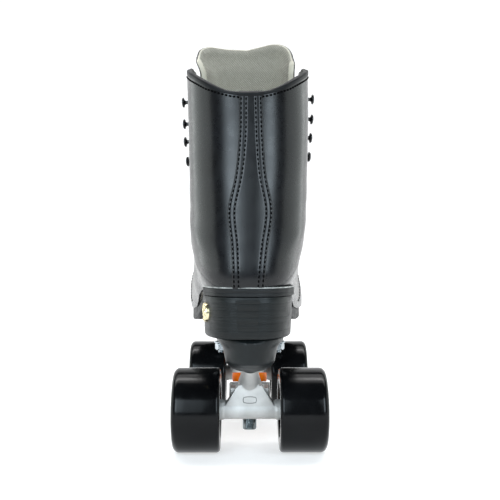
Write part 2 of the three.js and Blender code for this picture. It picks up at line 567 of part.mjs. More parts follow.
function hook(name, t, angle) {
  const at = bootPoint(t, angle, 0);
  const ahead = bootPoint(t, angle + 0.05, 0).sub(bootPoint(t, angle - 0.05, 0));
  const down = bootPoint(t + 0.05, angle, 0).sub(bootPoint(Math.max(0, t - 0.05), angle, 0));
  const out = ahead.cross(down).normalize();
  if (out.x * at.x < 0) out.negate();
  const profile = [[0, GAP], [3.7, GAP], [3.7, 1], [1.5, 1.5], [1.5, 4.2], [3.6, 5.2], [3.6, 6.2], [2, 7], [0, 7]];
  add(name, turned(profile, at, out, 8), blackMetal);
}

/** The angle round station t that lies a given distance behind its front point, on the right side. */
function angleBehindFront(t, distance) {
  const [yb, zb, yf, zf, , , widest, , frontPower] = station(t);
  const half = Math.hypot(yf - yb, zf - zb) / 2;
  const share = 1 - distance / half / (1 - widest);
  return Math.acos(-(share ** (frontPower / 2)));
}

function hooks() {
  const rows = { lateral: [0.88, 1.52, 2.11, 2.85], medial: [0.81, 1.36, 1.97, 2.65] };
  for (const [side, stations] of Object.entries(rows)) {
    stations.forEach((t, i) => {
      const angle = angleBehindFront(t, 24.5 - t);
      hook(`hook_${side}_${i + 1}`, t, side === "medial" ? angle : -angle);
    });
  }
}

function heelStud() {
  const angle = Math.PI * 0.83;
  const [x, y] = heelPoint(angle, 0.7);
  const [[xa, ya], [xb, yb]] = [heelPoint(angle - 0.05, 0.7), heelPoint(angle + 0.05, 0.7)];
  const out = new THREE.Vector3(yb - ya, xa - xb, 0).normalize();
  if (out.x > 0) out.negate();
  const profile = [[0, 0.9], [6.3, 0.9], [6.3, 1.8], [5, 2.4], [3, 2.4], [2.6, 3.2], [1.4, 3.9], [0, 3.9]];
  return turned(profile, new THREE.Vector3(x, y, 98), out, 16);
}

// ---------------------------------------------------------------- assembly
const frames = {
  rear: new THREE.Matrix4().makeTranslation(0, REAR_AXLE_Y, AXLE_Z),
  front: new THREE.Matrix4().makeTranslation(0, FRONT_AXLE_Y, AXLE_Z).multiply(new THREE.Matrix4().makeRotationZ(Math.PI)),
};
for (const [end, frame] of Object.entries(frames)) {
  truck(end, frame);
  const unturned = new THREE.Matrix4().makeTranslation(0, end === "rear" ? REAR_AXLE_Y : FRONT_AXLE_Y, AXLE_Z);
  for (const side of ["left", "right"]) wheel(end, side, unturned);
}
const boltHoles = Object.values(MOUNT_BOLTS).map(([x, y]) => solid(rod(2.5 + GAP, new THREE.Vector3(x, y, 0), Z, 60, 100.3, 12)));
add("plate", plate(Object.values(frames)), nylon);
for (const [name, place] of Object.entries(MOUNT_BOLTS)) mountBolt(name, place, name.startsWith("rear") ? 100 : 90);
toeStop();
add("outsole", cut(outsole(), boltHoles), soleRubber);
add("heel_block", cut(solid(heelBlock()), boltHoles), soleRubber);
upper();
add("tongue", tongue(), leather);
add("backstay", backstay(), leather);
add("insole", insole(), lining);
hooks();
add("heel_stud", heelStud(), brass);

export default group;
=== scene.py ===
"""The looks of a left quad roller skate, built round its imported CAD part.

Lengths are in millimetres, unless a name or a comment says otherwise."""
import json
import math

import bmesh
import bpy
import numpy as np
from mathutils import Matrix, Vector


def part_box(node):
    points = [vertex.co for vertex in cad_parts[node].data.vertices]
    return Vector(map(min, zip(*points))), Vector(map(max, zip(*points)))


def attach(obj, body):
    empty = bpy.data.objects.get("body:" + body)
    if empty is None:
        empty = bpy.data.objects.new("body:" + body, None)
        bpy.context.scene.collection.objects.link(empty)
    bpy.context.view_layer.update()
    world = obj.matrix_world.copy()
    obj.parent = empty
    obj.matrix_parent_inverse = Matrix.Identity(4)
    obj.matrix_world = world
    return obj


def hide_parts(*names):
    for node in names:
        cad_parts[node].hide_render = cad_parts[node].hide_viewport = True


MM = 0.001
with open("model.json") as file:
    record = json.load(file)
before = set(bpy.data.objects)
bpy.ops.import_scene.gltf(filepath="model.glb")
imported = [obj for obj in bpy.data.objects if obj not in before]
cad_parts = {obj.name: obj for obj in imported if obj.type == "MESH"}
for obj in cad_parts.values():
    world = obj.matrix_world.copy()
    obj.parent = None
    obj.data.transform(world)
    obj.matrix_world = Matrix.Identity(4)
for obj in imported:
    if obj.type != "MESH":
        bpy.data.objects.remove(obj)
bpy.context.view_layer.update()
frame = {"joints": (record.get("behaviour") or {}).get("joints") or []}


def box_mm(node):
    low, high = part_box(node)
    return np.array(low) / MM, np.array(high) / MM


def centre_mm(node):
    low, high = box_mm(node)
    return (low + high) / 2


REAR_AXLE_Y = float(centre_mm("axle_rear")[1])
FRONT_AXLE_Y = float(centre_mm("axle_front")[1])
AXLE_Z = float(centre_mm("axle_rear")[2])
ORIGIN = (0, 0, 0)
X_AXIS = (1, 0, 0)
UP = (0, 0, 1)
PLATE_TOP = float(box_mm("plate")[1][2])
HEEL_TOP = float(box_mm("outsole")[1][2])
SOLE_BASE = float(box_mm("outsole")[0][2])

# ---------------------------------------------------------------- materials


class Nodes:
    """A material's node tree, written as short calls."""

    def __init__(self, name):
        self.material = bpy.data.materials.new(name)
        self.material.use_nodes = True
        self.tree = self.material.node_tree
        self.shader = self.tree.nodes["Principled BSDF"]
        self.coords = self.tree.nodes.new("ShaderNodeTexCoord")

    def new(self, kind, inputs=None, **settings):
        node = self.tree.nodes.new("ShaderNode" + kind)
        for key, value in settings.items():
            setattr(node, key, value)
        for key, value in (inputs or {}).items():
            self.feed(node.inputs[key], value)
        return node

    def feed(self, socket, value):
        if isinstance(value, bpy.types.NodeSocket):
            self.tree.links.new(value, socket)
        else:
            socket.default_value = value

    def noise(self, scale, detail=3.0, stretch=(1, 1, 1)):
        place = self.new("Mapping", {"Vector": self.coords.outputs["Object"], "Scale": stretch})
        inputs = {"Vector": place.outputs[0], "Scale": scale, "Detail": detail, "Roughness": 0.5}
        return self.new("TexNoise", inputs).outputs["Fac"]

    def mix(self, factor, low, high):
        node = self.new("Mix", data_type="RGBA")
        self.feed(node.inputs["Factor"], factor)
        self.feed(node.inputs[6], low)
        self.feed(node.inputs[7], high)
        return node.outputs[2]

    def spread(self, value, low, high, start=0.3, end=0.7):
        inputs = {"Value": value, "From Min": start, "From Max": end, "To Min": low, "To Max": high}
        return self.new("MapRange", inputs).outputs[0]

    def math(self, operation, a, b=0.0):
        node = self.new("Math", operation=operation)
        self.feed(node.inputs[0], a)
        self.feed(node.inputs[1], b)
        return node.outputs[0]

    def bump(self, height, distance, strength=1.0, after=None):
        node = self.new("Bump", {"Height": height, "Distance": distance * MM, "Strength": strength})
        if after is not None:
            self.feed(node.inputs["Normal"], after)
        return node.outputs[0]

    def finish(self, **sockets):
        for key, value in sockets.items():
            self.feed(self.shader.inputs[key.replace("_", " ")], value)
        return self.material


def rgb(r, g, b):
    return (r, g, b, 1.0)


def surface(name, dark, light, rough, grain, bump, patch=60, **sockets):
    """A material whose colour and roughness drift in soft patches, with a fine grain in relief.

    rough is (low, high), grain is the relief's noise scale per metre, bump its depth in millimetres."""
    n = Nodes(name)
    patches = n.noise(patch, 4)
    fine = n.noise(grain, 3)
    return n.finish(
        Base_Color=n.mix(n.spread(patches, 0, 1), rgb(*dark), rgb(*light)),
        Roughness=n.spread(n.noise(patch * 3, 5), *rough),
        Normal=n.bump(fine, bump),
        **sockets,
    )


def leather_material(name, dark, light, rough, pores, coat, specular=0.28):
    """Polished leather: shallow pores, faint stretch lines and a waxed top coat."""
    n = Nodes(name)
    inputs = {"Vector": n.coords.outputs["Object"], "Scale": 1100.0}
    cells = n.new("TexVoronoi", inputs, feature="DISTANCE_TO_EDGE")
    skin = n.bump(cells.outputs["Distance"], pores, 0.6)
    drawn = n.bump(n.noise(130, 4, (1, 1, 0.35)), 0.10, 0.6, skin)
    coat_wave = n.bump(n.noise(90, 3, (1, 1, 0.45)), 0.10, 0.5)
    return n.finish(
        Base_Color=n.mix(n.spread(n.noise(45, 5), 0, 1), rgb(*dark), rgb(*light)),
        Roughness=n.spread(n.noise(160, 6), *rough),
        Normal=drawn,
        Coat_Normal=coat_wave,
        Coat_Weight=coat,
        Coat_Roughness=0.22,
        Specular_IOR_Level=specular,
    )


def woven_material(name, dark, light):
    """A diagonal rib weave: two sets of fine lines across each other, with slubs."""
    n = Nodes(name)
    waves = []
    for turn in (0.78, -0.78):
        place = n.new("Mapping", {"Vector": n.coords.outputs["Object"], "Rotation": (0.0, turn, 0.0)})
        inputs = {"Vector": place.outputs[0], "Scale": 330.0, "Distortion": 0.8, "Detail": 1.0}
        waves.append(n.new("TexWave", inputs).outputs["Fac"])
    cloth = n.math("MULTIPLY", waves[0], n.spread(waves[1], 0.55, 1.0, 0.0, 1.0))
    shade = n.math("MULTIPLY", cloth, n.spread(n.noise(300, 4), 0.6, 1.1))
    return n.finish(
        Base_Color=n.mix(shade, rgb(*dark), rgb(*light)),
        Roughness=n.spread(n.noise(500, 3), 0.75, 0.95),
        Normal=n.bump(cloth, 0.35),
        Sheen_Weight=0.25,
    )


def stacked_material(name):
    """Black lacquered lifts: fine level lines over a dark ground."""
    n = Nodes(name)
    inputs = {"Vector": n.coords.outputs["Object"], "Scale": 190.0, "Distortion": 0.6, "Detail": 2.0}
    lines = n.new("TexWave", inputs, bands_direction="Z")
    fine = n.math("MULTIPLY", lines.outputs["Fac"], n.noise(700, 3, (0.1, 0.1, 3)))
    return n.finish(
        Base_Color=n.mix(n.spread(n.noise(300, 4, (0.15, 0.15, 4)), 0, 1), rgb(0.0025, 0.0036, 0.0038),
                         rgb(0.007, 0.009, 0.0092)),
        Roughness=n.spread(n.noise(200, 4), 0.36, 0.5),
        Normal=n.bump(fine, 0.08),
        Specular_IOR_Level=0.26,
    )


def cast_material(name, low, high, rough, grain_depth, metal=1.0):
    """Satin cast metal: fine sand grain and cloudy brightness."""
    n = Nodes(name)
    grain = n.bump(n.noise(2600, 2), grain_depth, 0.8)
    pitted = n.bump(n.noise(420, 4), grain_depth * 2.2, 0.5, grain)
    return n.finish(
        Base_Color=n.mix(n.spread(n.noise(90, 6), 0, 1), rgb(*low), rgb(*high)),
        Roughness=n.spread(n.noise(240, 5), *rough),
        Normal=pitted,
        Metallic=metal,
    )


INK = (0.0015, 0.0017, 0.0022), (0.004, 0.0045, 0.0058)  # the black dye, at its darkest and lightest
LEATHER = leather_material("black_leather", *INK, (0.24, 0.33), 0.018, 0.2)
TRIM = leather_material("trim_leather", *INK, (0.27, 0.36), 0.022, 0.18)
CREAM = leather_material("cream_facing", (0.42, 0.385, 0.31), (0.6, 0.555, 0.455), (0.5, 0.65), 0.05, 0.05,
                         0.4)
WOVEN = woven_material("woven_lining", (0.205, 0.187, 0.147), (0.43, 0.394, 0.315))
THREAD = surface("stitch_thread", (0.0004, 0.0004, 0.0005), (0.001, 0.001, 0.0012), (0.8, 0.9), 4000, 0.03,
                 Specular_IOR_Level=0.05)
PALE_THREAD = surface("pale_thread", (0.3, 0.28, 0.22), (0.45, 0.42, 0.34), (0.5, 0.7), 4000, 0.03)
SOLE = surface("sole_rubber", (0.004, 0.0045, 0.005), (0.01, 0.011, 0.0115), (0.42, 0.6), 1500, 0.04,
               Specular_IOR_Level=0.25)
# Pale grey for the thin bead where the leather meets the sole: a painted highlight of the glossy joint.
WELT_HIGHLIGHT = surface("welt_painted_highlight", (0.16, 0.165, 0.16), (0.42, 0.43, 0.41), (0.25, 0.4), 900, 0.04, 220)
HEEL = stacked_material("stacked_heel")
NYLON = surface("plate_nylon", (0.0025, 0.0038, 0.0043), (0.006, 0.0085, 0.0092), (0.34, 0.46), 1300, 0.03,
                Specular_IOR_Level=0.27)
URETHANE = surface("wheel_urethane", (0.001, 0.0011, 0.0014), (0.003, 0.0033, 0.0038), (0.12, 0.2), 500,
                   0.01, 50, Specular_IOR_Level=0.18)
HUB = surface("hub_nylon", (0.004, 0.0045, 0.0055), (0.01, 0.011, 0.013), (0.35, 0.5), 1500, 0.03,
              Specular_IOR_Level=0.4)
CUSHION = surface("orange_urethane", (1.0, 0.17, 0.003), (1.0, 0.22, 0.005), (0.4, 0.55), 700, 0.03,
                  Specular_IOR_Level=0.15, Subsurface_Weight=0.15, Subsurface_Radius=(0.004, 0.0015, 0.0005))
CAST = cast_material("cast_aluminium", (0.43, 0.42, 0.405), (0.555, 0.545, 0.53), (0.45, 0.58), 0.05, 0.45)
# Darker metal for the raised oval on the hanger's web: painted shade along its outline.
MARK_SHADE = cast_material("casting_shadow", (0.16, 0.16, 0.155), (0.24, 0.24, 0.235), (0.5, 0.65), 0.03, 0.4)
STEEL = cast_material("zinc_steel", (0.30, 0.33, 0.35), (0.5, 0.54, 0.57), (0.18, 0.3), 0.012)
BEARING = cast_material("bearing_steel", (0.42, 0.43, 0.44), (0.6, 0.61, 0.62), (0.14, 0.26), 0.008)
ENAMEL = surface("black_enamel", (0.003, 0.003, 0.004), (0.01, 0.01, 0.011), (0.16, 0.3), 900, 0.02,
                 Coat_Weight=0.3)
BINDING = leather_material("binding_leather", (0.002, 0.0023, 0.003), (0.006, 0.0066, 0.008), (0.38, 0.5),
                           0.03, 0.0, 0.2)
DARK_STEEL = cast_material("blackened_steel", (0.10, 0.115, 0.12), (0.24, 0.27, 0.28), (0.16, 0.28), 0.012)
BRASS = cast_material("pressed_brass", (0.68, 0.58, 0.34), (0.9, 0.82, 0.58), (0.14, 0.28), 0.02)

# The record's material slot of the pieces in each material, unless a piece says otherwise.
SLOTS = {}
for slot_name, slot_materials in {
    "boot_leather": (LEATHER, TRIM, CREAM, THREAD, BINDING),
    "insole_fabric": (WOVEN, PALE_THREAD),
    "sole_rubber": (SOLE, WELT_HIGHLIGHT),
    "heel_stack": (HEEL,),
    "stud_brass": (BRASS,),
    "hook_metal": (ENAMEL,),
    "plate_nylon": (NYLON,),
    "steel": (STEEL, DARK_STEEL),
    "cast_alloy": (CAST, MARK_SHADE),
    "cushion_urethane": (CUSHION,),
    "wheel_urethane": (URETHANE,),
    "hub_nylon": (HUB,),
    "bearing_steel": (BEARING,),
}.items():
    SLOTS.update({m.name: slot_name for m in slot_materials})

# ---------------------------------------------------------------- mesh helpers


def link(name, data):
    """A new object in the scene."""
    obj = bpy.data.objects.new(name, data)
    bpy.context.scene.collection.objects.link(obj)
    return obj


def add(name, verts, faces, material, body="boot", slot=None, replaces=(), sharp=35, more=(), index=None):
    """A named piece from vertices in millimetres, smooth but for edges sharper than the given angle."""
    mesh = bpy.data.meshes.new(name)
    mesh.from_pydata((np.asarray(verts, float) * MM).tolist(), [], faces)
    mesh.validate()
    obj = link(name, mesh)
    for m in (material, *more):
        mesh.materials.append(m)
    if index is not None:
        mesh.polygons.foreach_set("material_index", np.asarray(index, np.int32))
    smooth(obj, sharp)
    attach(obj, body)
    slot or SLOTS[material.name]
    if replaces:
        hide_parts(*replaces)
    return obj


def smooth(obj, sharp=35):
    obj.data.polygons.foreach_set("use_smooth", [True] * len(obj.data.polygons))
    obj.data.set_sharp_from_angle(angle=math.radians(sharp))


def weld(verts, faces, distance=1e-4):
    """Merges double vertices, drops flat faces and turns the faces outwards."""
    bm = bmesh.new()
    made = [bm.verts.new(v) for v in np.asarray(verts, float)]
    for f in faces:
        try:
            bm.faces.new([made[i] for i in f])
        except ValueError:
            pass
    bmesh.ops.remove_doubles(bm, verts=bm.verts, dist=distance)
    bmesh.ops.dissolve_degenerate(bm, edges=bm.edges, dist=distance)
    bmesh.ops.recalc_face_normals(bm, faces=bm.faces)
    bm.verts.index_update()
    out = [v.co[:] for v in bm.verts], [[v.index for v in f.verts] for f in bm.faces]
    bm.free()
    return np.array(out[0]), out[1]


def grid_faces(rows, columns, wrap_rows=False, wrap_columns=False, start=0):
    faces = []
    for i in range(rows if wrap_rows else rows - 1):
        for j in range(columns if wrap_columns else columns - 1):
            a, b = i, (i + 1) % rows
            c, d = j, (j + 1) % columns
            faces.append([start + row * columns + column for row, column in ((a, c), (a, d), (b, d), (b, c))])
    return faces


def tower(rings):
    """A closed solid from rings of points, one after another, with a flat face at each end."""
    count = len(rings[0])
    verts = np.concatenate(rings)
    faces = grid_faces(len(rings), count, False, True)
    faces += [list(range(count))[::-1], list(range(len(verts) - count, len(verts)))]
    return weld(verts, faces)


def run_along(points):
    """The distance covered on reaching each of a row of points."""
    return np.concatenate([[0], np.cumsum(np.linalg.norm(np.diff(points, axis=0), axis=1))])


def around(count):
    """Angles at even steps round a circle."""
    return np.arange(count) * 2 * math.pi / count


def catmull(a, b, c, d, u):
    """The smooth curve from b to c that heeds their neighbours a and d, at a share u of the way."""
    square, cube = 2 * a - 5 * b + 4 * c - d, 3 * b - a - 3 * c + d
    return 0.5 * (2 * b + (c - a) * u + square * u * u + cube * u ** 3)


def turn_to(direction):
    return np.array(Vector(UP).rotation_difference(Vector(direction).normalized()).to_matrix())


def lathe(profile, origin=ORIGIN, direction=UP, sides=72, closed=False, shape=None):
    """A solid of revolution from [radius, along] pairs. shape(angles, radius, along) may change the radii."""
    profile = np.asarray(profile, float)
    angles = around(sides)
    rows = []
    for radius, along in profile:
        r = np.full(sides, radius) if shape is None else shape(angles, radius, along)
        rows.append(np.stack([r * np.cos(angles), r * np.sin(angles), np.full(sides, along)], 1))
    verts = np.concatenate(rows) @ turn_to(direction).T + np.asarray(origin, float)
    return weld(verts, grid_faces(len(profile), sides, closed, True))


def rounded(profile, radius=0.4, closed=False, steps=3):
    """The profile with its corners rounded off by up to radius. Points on the axis stay."""
    points = [np.array(p, float) for p in profile]
    out = []
    count = len(points)
    for i, p in enumerate(points):
        if not closed and i in (0, count - 1):
            out.append(p)
            continue
        a, b = points[i - 1] - p, points[(i + 1) % count] - p
        la, lb = np.linalg.norm(a), np.linalg.norm(b)
        bend = abs(np.cross(a, b)) / max(la * lb, 1e-9)
        if bend < 0.15:
            out.append(p)
            continue
        r = min(radius, 0.45 * la, 0.45 * lb)
        start, end = p + a / la * r, p + b / lb * r
        for k in range(steps + 1):
            t = k / steps
            out.append((1 - t) ** 2 * start + 2 * t * (1 - t) * p + t * t * end)
    return out


def turned(profile, corner, origin, direction, sides):
    """A ring of revolution with rounded corners."""
    return lathe(rounded(profile, corner, True), origin, direction, sides, True)


def move(verts, matrix):
    m = np.array(matrix)
    return verts @ m[:3, :3].T + m[:3, 3]


def join(*parts):
    """One set of vertices and faces from several."""
    verts, faces, start = [], [], 0
    for v, f in parts:
        verts.append(v)
        faces += [[i + start for i in face] for face in f]
        start += len(v)
    return np.concatenate(verts), faces


def hex_shape(across, chamfer_low, chamfer_high, low, high):
    """Radii of a hexagonal prism with its corners turned down to a cone at each end."""
    inner = across / 2

    def shape(angles, radius, along):
        if radius < inner - 0.01:
            return np.full(len(angles), radius)
        flat = inner / np.cos((angles % (math.pi / 3)) - math.pi / 6)
        low_cone = inner * (0.97 + 0.3 * (along - low) / 1.2) if chamfer_low else 1e9
        high_cone = inner * (0.97 + 0.3 * (high - along) / 1.2) if chamfer_high else 1e9
        return np.minimum(flat, min(low_cone, high_cone))

    return shape


def hex_nut(across, bore, origin, direction, low, high, chamfers=(True, True)):
    reach = np.array([0, 0.2, 0.45, 0.75, 1.1])
    span = [low + s for s in reach] + [high - s for s in reach[::-1]]
    mouth = 0.5
    profile = [[bore, low + mouth], [bore + mouth, low]] + [[across / 2, a] for a in span]
    profile += [[bore + mouth, high], [bore, high - mouth]]
    return lathe(profile, origin, direction, 96, True, hex_shape(across, *chamfers, low, high))


# One turn of a thread, from its foot to its crest and back: [share of the depth, share of the pitch].
THREAD_FORM = ((1, 0.12), (0, 0.42), (0, 0.62), (1, 0.92))


def thread_profile(radius, start, end, pitch, depth):
    """Rings of a screw thread between two places along it."""
    turns = max(1, int(round(abs(end - start) / pitch)))
    step = (end - start) / turns
    points = []
    for i in range(turns):
        at = start + i * step
        points += [[radius - low * depth, at + share * step] for low, share in THREAD_FORM]
    return points


def apply_modifiers(obj):
    graph = bpy.context.evaluated_depsgraph_get()
    mesh = bpy.data.meshes.new_from_object(obj.evaluated_get(graph))
    obj.modifiers.clear()
    obj.data = mesh


def loose(verts, faces):
    mesh = bpy.data.meshes.new("tool")
    mesh.from_pydata(np.asarray(verts).tolist(), [], faces)
    return link("tool", mesh)


def moulded(parts, cutters, voxel, passes):
    """Closed shapes grown into one smooth-cornered casting, then bored by the cutters. In millimetres."""
    obj = loose(*join(*parts))
    remesh = obj.modifiers.new("Remesh", "REMESH")
    remesh.mode = "VOXEL"
    remesh.voxel_size = voxel
    blur = obj.modifiers.new("Smooth", "SMOOTH")
    blur.factor = 0.5
    blur.iterations = passes
    apply_modifiers(obj)
    for verts, faces in cutters:
        tool = loose(verts, faces)
        cut = obj.modifiers.new("Cut", "BOOLEAN")
        cut.operation = "DIFFERENCE"
        cut.solver = "EXACT"
        cut.object = tool
        apply_modifiers(obj)
        bpy.data.objects.remove(tool)
    verts = np.array([v.co[:] for v in obj.data.vertices])
    faces = [list(p.vertices) for p in obj.data.polygons]
    bpy.data.objects.remove(obj)
    return verts, faces


# ---------------------------------------------------------------- boot surface
# The boot is a sock of cross-sections, as in the CAD part. Each runs from a point on the back or bottom to
# one on the front or top, with y counted from the rear axle:
# [back y, back z, front y, front z, half width, centre x, widest share, back power, front power].
STATIONS = np.array([
    [-47, 237, 60, 278, 41.5, -1.5, 0.0, 2.5, 5.2],
    [-45, 212, 58, 253, 41.5, -1.0, 0.0, 2.4, 4.8],
    [-45, 188, 59, 230, 41.0, -1.0, 0.0, 2.4, 4.3],
    [-48, 165, 63, 211, 40.5, -1.0, 0.0, 2.3, 3.7],
    [-53, 145, 69, 197, 40.0, -1.2, 0.0, 2.3, 3.1],
    [-57, 127, 76, 187, 39.5, -1.5, 0.05, 2.5, 2.6],
    [-55, 109, 83, 179, 39.0, -1.8, 0.1, 2.8, 2.3],
    [-38, 100, 90, 172, 38.5, -2.0, 0.1, 2.9, 2.2],
    [-8, 99, 97, 166, 38.5, -2.4, 0.0, 2.8, 2.2],
    [25, 95, 105, 160, 39.5, -3.0, -0.1, 3.0, 2.2],
    [58, 88, 115, 154, 42.0, -3.0, -0.2, 3.2, 2.2],
    [90, 83, 128, 148, 45.5, -2.6, -0.3, 3.6, 2.2],
    [118, 81, 144, 142.5, 48.0, -1.6, -0.4, 4.0, 2.3],
    [145, 80.5, 162, 137, 47.6, 0.2, -0.4, 4.0, 2.4],
    [170, 81, 181, 131, 43.8, 2.6, -0.4, 3.8, 2.5],
    [190, 82.5, 197, 123.5, 37.4, 4.8, -0.35, 3.4, 2.5],
    [206, 84, 209, 114.5, 28.5, 6.4, -0.3, 3.0, 2.4],
    [217, 86.5, 218, 105, 16.5, 7.4, -0.2, 2.6, 2.3],
    [222.5, 90, 223, 96, 5.0, 8.0, 0.0, 2.2, 2.2],
], float)
LAST = len(STATIONS) - 1
STEP = 25.0  # millimetres down the shaft from one station to the next
# The height at which the leather meets the sole: [distance in front of the rear axle, height].
SOLE_LINE = np.array([[-75, HEEL_TOP], [-12, HEEL_TOP], [12, 111.5], [40, 104], [70, 96], [95, 92.5],
                      [165, 92.5], [195, 94], [235, 98.5]])
WALL = 3.9  # leather and lining together
COLLAR_RISE = 9.8
COLLAR_DIP = 2.0
# The throat: [station, half gap, depth behind the front line].
THROAT = np.array([[0, 52, 16], [1, 48, 14.5], [2, 44, 13.5], [3, 38, 12.5], [4, 30, 12], [5.5, 22, 12],
                   [7.5, 16, 12], [9, 13, 12], [10.3, 10.5, 12], [11, 5, 12]])
THROAT_END = 11.0


def smoothstep(value, low, high):
    x = np.clip((value - low) / (high - low), 0, 1)
    return x * x * (3 - 2 * x)


def collar_rise(t, angle):
    """How far the collar's line rises at each side, in stations: it dips at the back."""
    turn = np.abs(angle - 2 * math.pi * np.round(angle / (2 * math.pi)))
    side = np.sin(math.pi / 2 * np.abs(np.sin(angle))) ** 2
    fade = (1 - smoothstep(turn, 1.35, 2)) * np.clip(1 - t / 2.2, 0, 1)
    return (COLLAR_RISE * side - COLLAR_DIP) / STEP * fade


def heel_tuck(y, z):
    """The share of its half width that the boot loses at a height: the counter tucks in to the heel seat."""
    slim = 0.085 * (1 - smoothstep(z, 124, 150))
    tuck = 0.055 * np.clip((HEEL_TOP + 14 - z) / 14, 0, 1.1) ** 1.2
    return (slim + tuck) * (1 - smoothstep(y, -10, 35))


def station(t):
    t = np.asarray(t, float)
    i = np.clip(np.floor(t).astype(int), 0, LAST - 1)
    u = (t - i)[..., None]
    a, b, d, e = (STATIONS[np.clip(i + k, 0, LAST)] for k in (-1, 0, 1, 2))
    # Above the first station the section only moves on, and keeps its size.
    slope = (STATIONS[1] - STATIONS[0]) * (np.arange(9) < 4)
    return np.where((t < 0)[..., None], STATIONS[0] + slope * t[..., None], catmull(a, b, d, e, u))


def relief(t, angle):
    """Soft unevenness of the leather, in millimetres into the boot."""
    t, angle = np.broadcast_arrays(np.asarray(t, float), np.asarray(angle, float))
    ankle = np.exp(-((t - 4.5) / 1.8) ** 2)
    ball = np.exp(-((t - 12.2) / 0.9) ** 2) * np.clip(-np.cos(angle), 0, 1)
    slow = 0.12 * np.sin(1.7 * t + 1.3) * np.sin(2 * angle + 0.6 * t)
    slow = slow + 0.07 * np.sin(3.1 * t - 2 * angle + 0.8)
    crease = 0.2 * ankle * np.sin(5.2 * t + 1.5 * np.cos(angle)) * np.sin(angle) ** 2
    wrinkle = 0.25 * ball * np.sin(9 * t + 2 * np.cos(2 * angle))
    return (slow + crease + wrinkle) * np.clip((LAST - t) / 3, 0, 1)


def boot(t, angle, inset=0.0):
    """Points of the boot. The angle is 0 at the back or bottom, pi at the front or top, + on the right."""
    t, angle, inset = np.broadcast_arrays(*(np.asarray(v, float) for v in (t, angle, inset)))
    rows = station(t - collar_rise(t, angle))
    yb, zb, yf, zf, width, cx, widest, back, front = np.moveaxis(rows, -1, 0)
    half = np.hypot(yf - yb, zf - zb) / 2
    inset = inset + relief(t, angle)
    length = half - inset
    c, s = -np.cos(angle), np.sin(angle)
    power = np.where(c < 0, back, front)
    reach = np.where(c < 0, 1 + widest, 1 - widest)
    along = widest * length + np.sign(c) * reach * length * np.abs(c) ** (2 / power)
    flare = 2.8 * np.maximum(0, along / half - 0.2) ** 2 * np.maximum(0, 1 - np.maximum(0, t) / 1.5)
    across = np.sign(s) * ((width - inset) * np.abs(s) ** (2 / power) + flare)
    dy, dz = (yf - yb) / (2 * half), (zf - zb) / (2 * half)
    y, z = (yb + yf) / 2 + dy * along, (zb + zf) / 2 + dz * along
    y = y + 1.7 * np.clip((HEEL_TOP + 12 - z) / 12, 0, 1.1) ** 1.9 * (1 - smoothstep(y, -45, -15))
    return np.stack([cx + across * (1 - heel_tuck(y, z)), REAR_AXLE_Y + y, z], -1)


def normal(t, angle):
    """The boot's outward direction."""
    e = 0.02
    du = boot(t, angle + e) - boot(t, angle - e)
    dv = boot(t + e, angle) - boot(t - e, angle)
    n = np.cross(du, dv)
    n /= np.maximum(np.linalg.norm(n, axis=-1, keepdims=True), 1e-9)
    core = (boot(t, 0 * angle) + boot(t, 0 * angle + math.pi)) / 2
    core[..., 0] = 0
    side = np.sum(n * (boot(t, angle) - core), -1, keepdims=True)
    return np.where(side < 0, -n, n)


def sole_height(y):
    return np.interp(y - REAR_AXLE_Y, SOLE_LINE[:, 0], SOLE_LINE[:, 1])


def edge_tables():
    """For each station: the angle where the upper meets the sole, and the angle of the throat's edge."""
    ts = np.linspace(0, LAST, 721)
    angles = np.linspace(0, math.pi, 721)
    low, high = [], []
    for t in ts:
        p = boot(t, angles)
        clear = p[:, 2] - sole_height(p[:, 1]) > -1.5
        low.append(angles[np.argmax(clear)] if clear.any() else math.pi)
        _, half_gap, depth = (np.interp(t, THROAT[:, 0], THROAT[:, k]) for k in range(3))
        row = station(t)
        half = math.hypot(row[2] - row[0], row[3] - row[1]) / 2
        share = 1 - depth / half / (1 - row[6])
        by_depth = math.acos(-max(share, 0) ** (row[8] / 2))
        by_gap = math.pi - math.asin(min(1, half_gap / row[4]) ** (row[8] / 2))
        edge = max(by_depth, by_gap) if t < THROAT_END else math.pi
        high.append(edge)
    high = np.array(high)
    kernel = np.hanning(61)
    padded = np.pad(high, 30, mode="edge")
    high = np.convolve(padded, kernel / kernel.sum(), "valid")
    high[ts >= THROAT_END + 0.15] = math.pi
    return ts, np.array(low), np.minimum(high, math.pi)


TS, LOW, HIGH = edge_tables()


def sole_angle(t):
    return np.interp(t, TS, LOW)


def throat_angle(t):
    return np.interp(t, TS, HIGH)


def slab(outer, inner, edge_steps=2, edge_bulge=0.25):
    """A closed sheet between two grids of points, with softly rounded edges."""
    rows, columns = outer.shape[:2]
    size = rows * columns
    verts = np.concatenate([outer.reshape(-1, 3), inner.reshape(-1, 3)])
    faces = grid_faces(rows, columns)
    faces += [f[::-1] for f in grid_faces(rows, columns, start=size)]
    rim = [(0, j) for j in range(columns)] + [(i, columns - 1) for i in range(1, rows)]
    rim += [(rows - 1, j) for j in range(columns - 2, -1, -1)] + [(i, 0) for i in range(rows - 2, 0, -1)]
    rings = [[i * columns + j for i, j in rim]]
    for k in range(1, edge_steps + 1):
        ring = []
        for i, j in rim:
            inward = outer[min(max(i, 1), rows - 2), min(max(j, 1), columns - 2)] - outer[i, j]
            inward /= max(np.linalg.norm(inward), 1e-9)
            middle = outer[i, j] + (inner[i, j] - outer[i, j]) * k / (edge_steps + 1)
            ring.append(middle - inward * edge_bulge)
        rings.append(list(range(len(verts), len(verts) + len(ring))))
        verts = np.concatenate([verts, np.array(ring)])
    rings.append([size + i * columns + j for i, j in rim])
    count = len(rim)
    for a, b in zip(rings, rings[1:]):
        faces += [[a[k], b[k], b[(k + 1) % count], a[(k + 1) % count]] for k in range(count)]
    return verts, faces


def wall(t):
    """Leather and lining together, thinner at the collar."""
    return WALL - 1.5 * (1 - smoothstep(t, 0, 1.3))


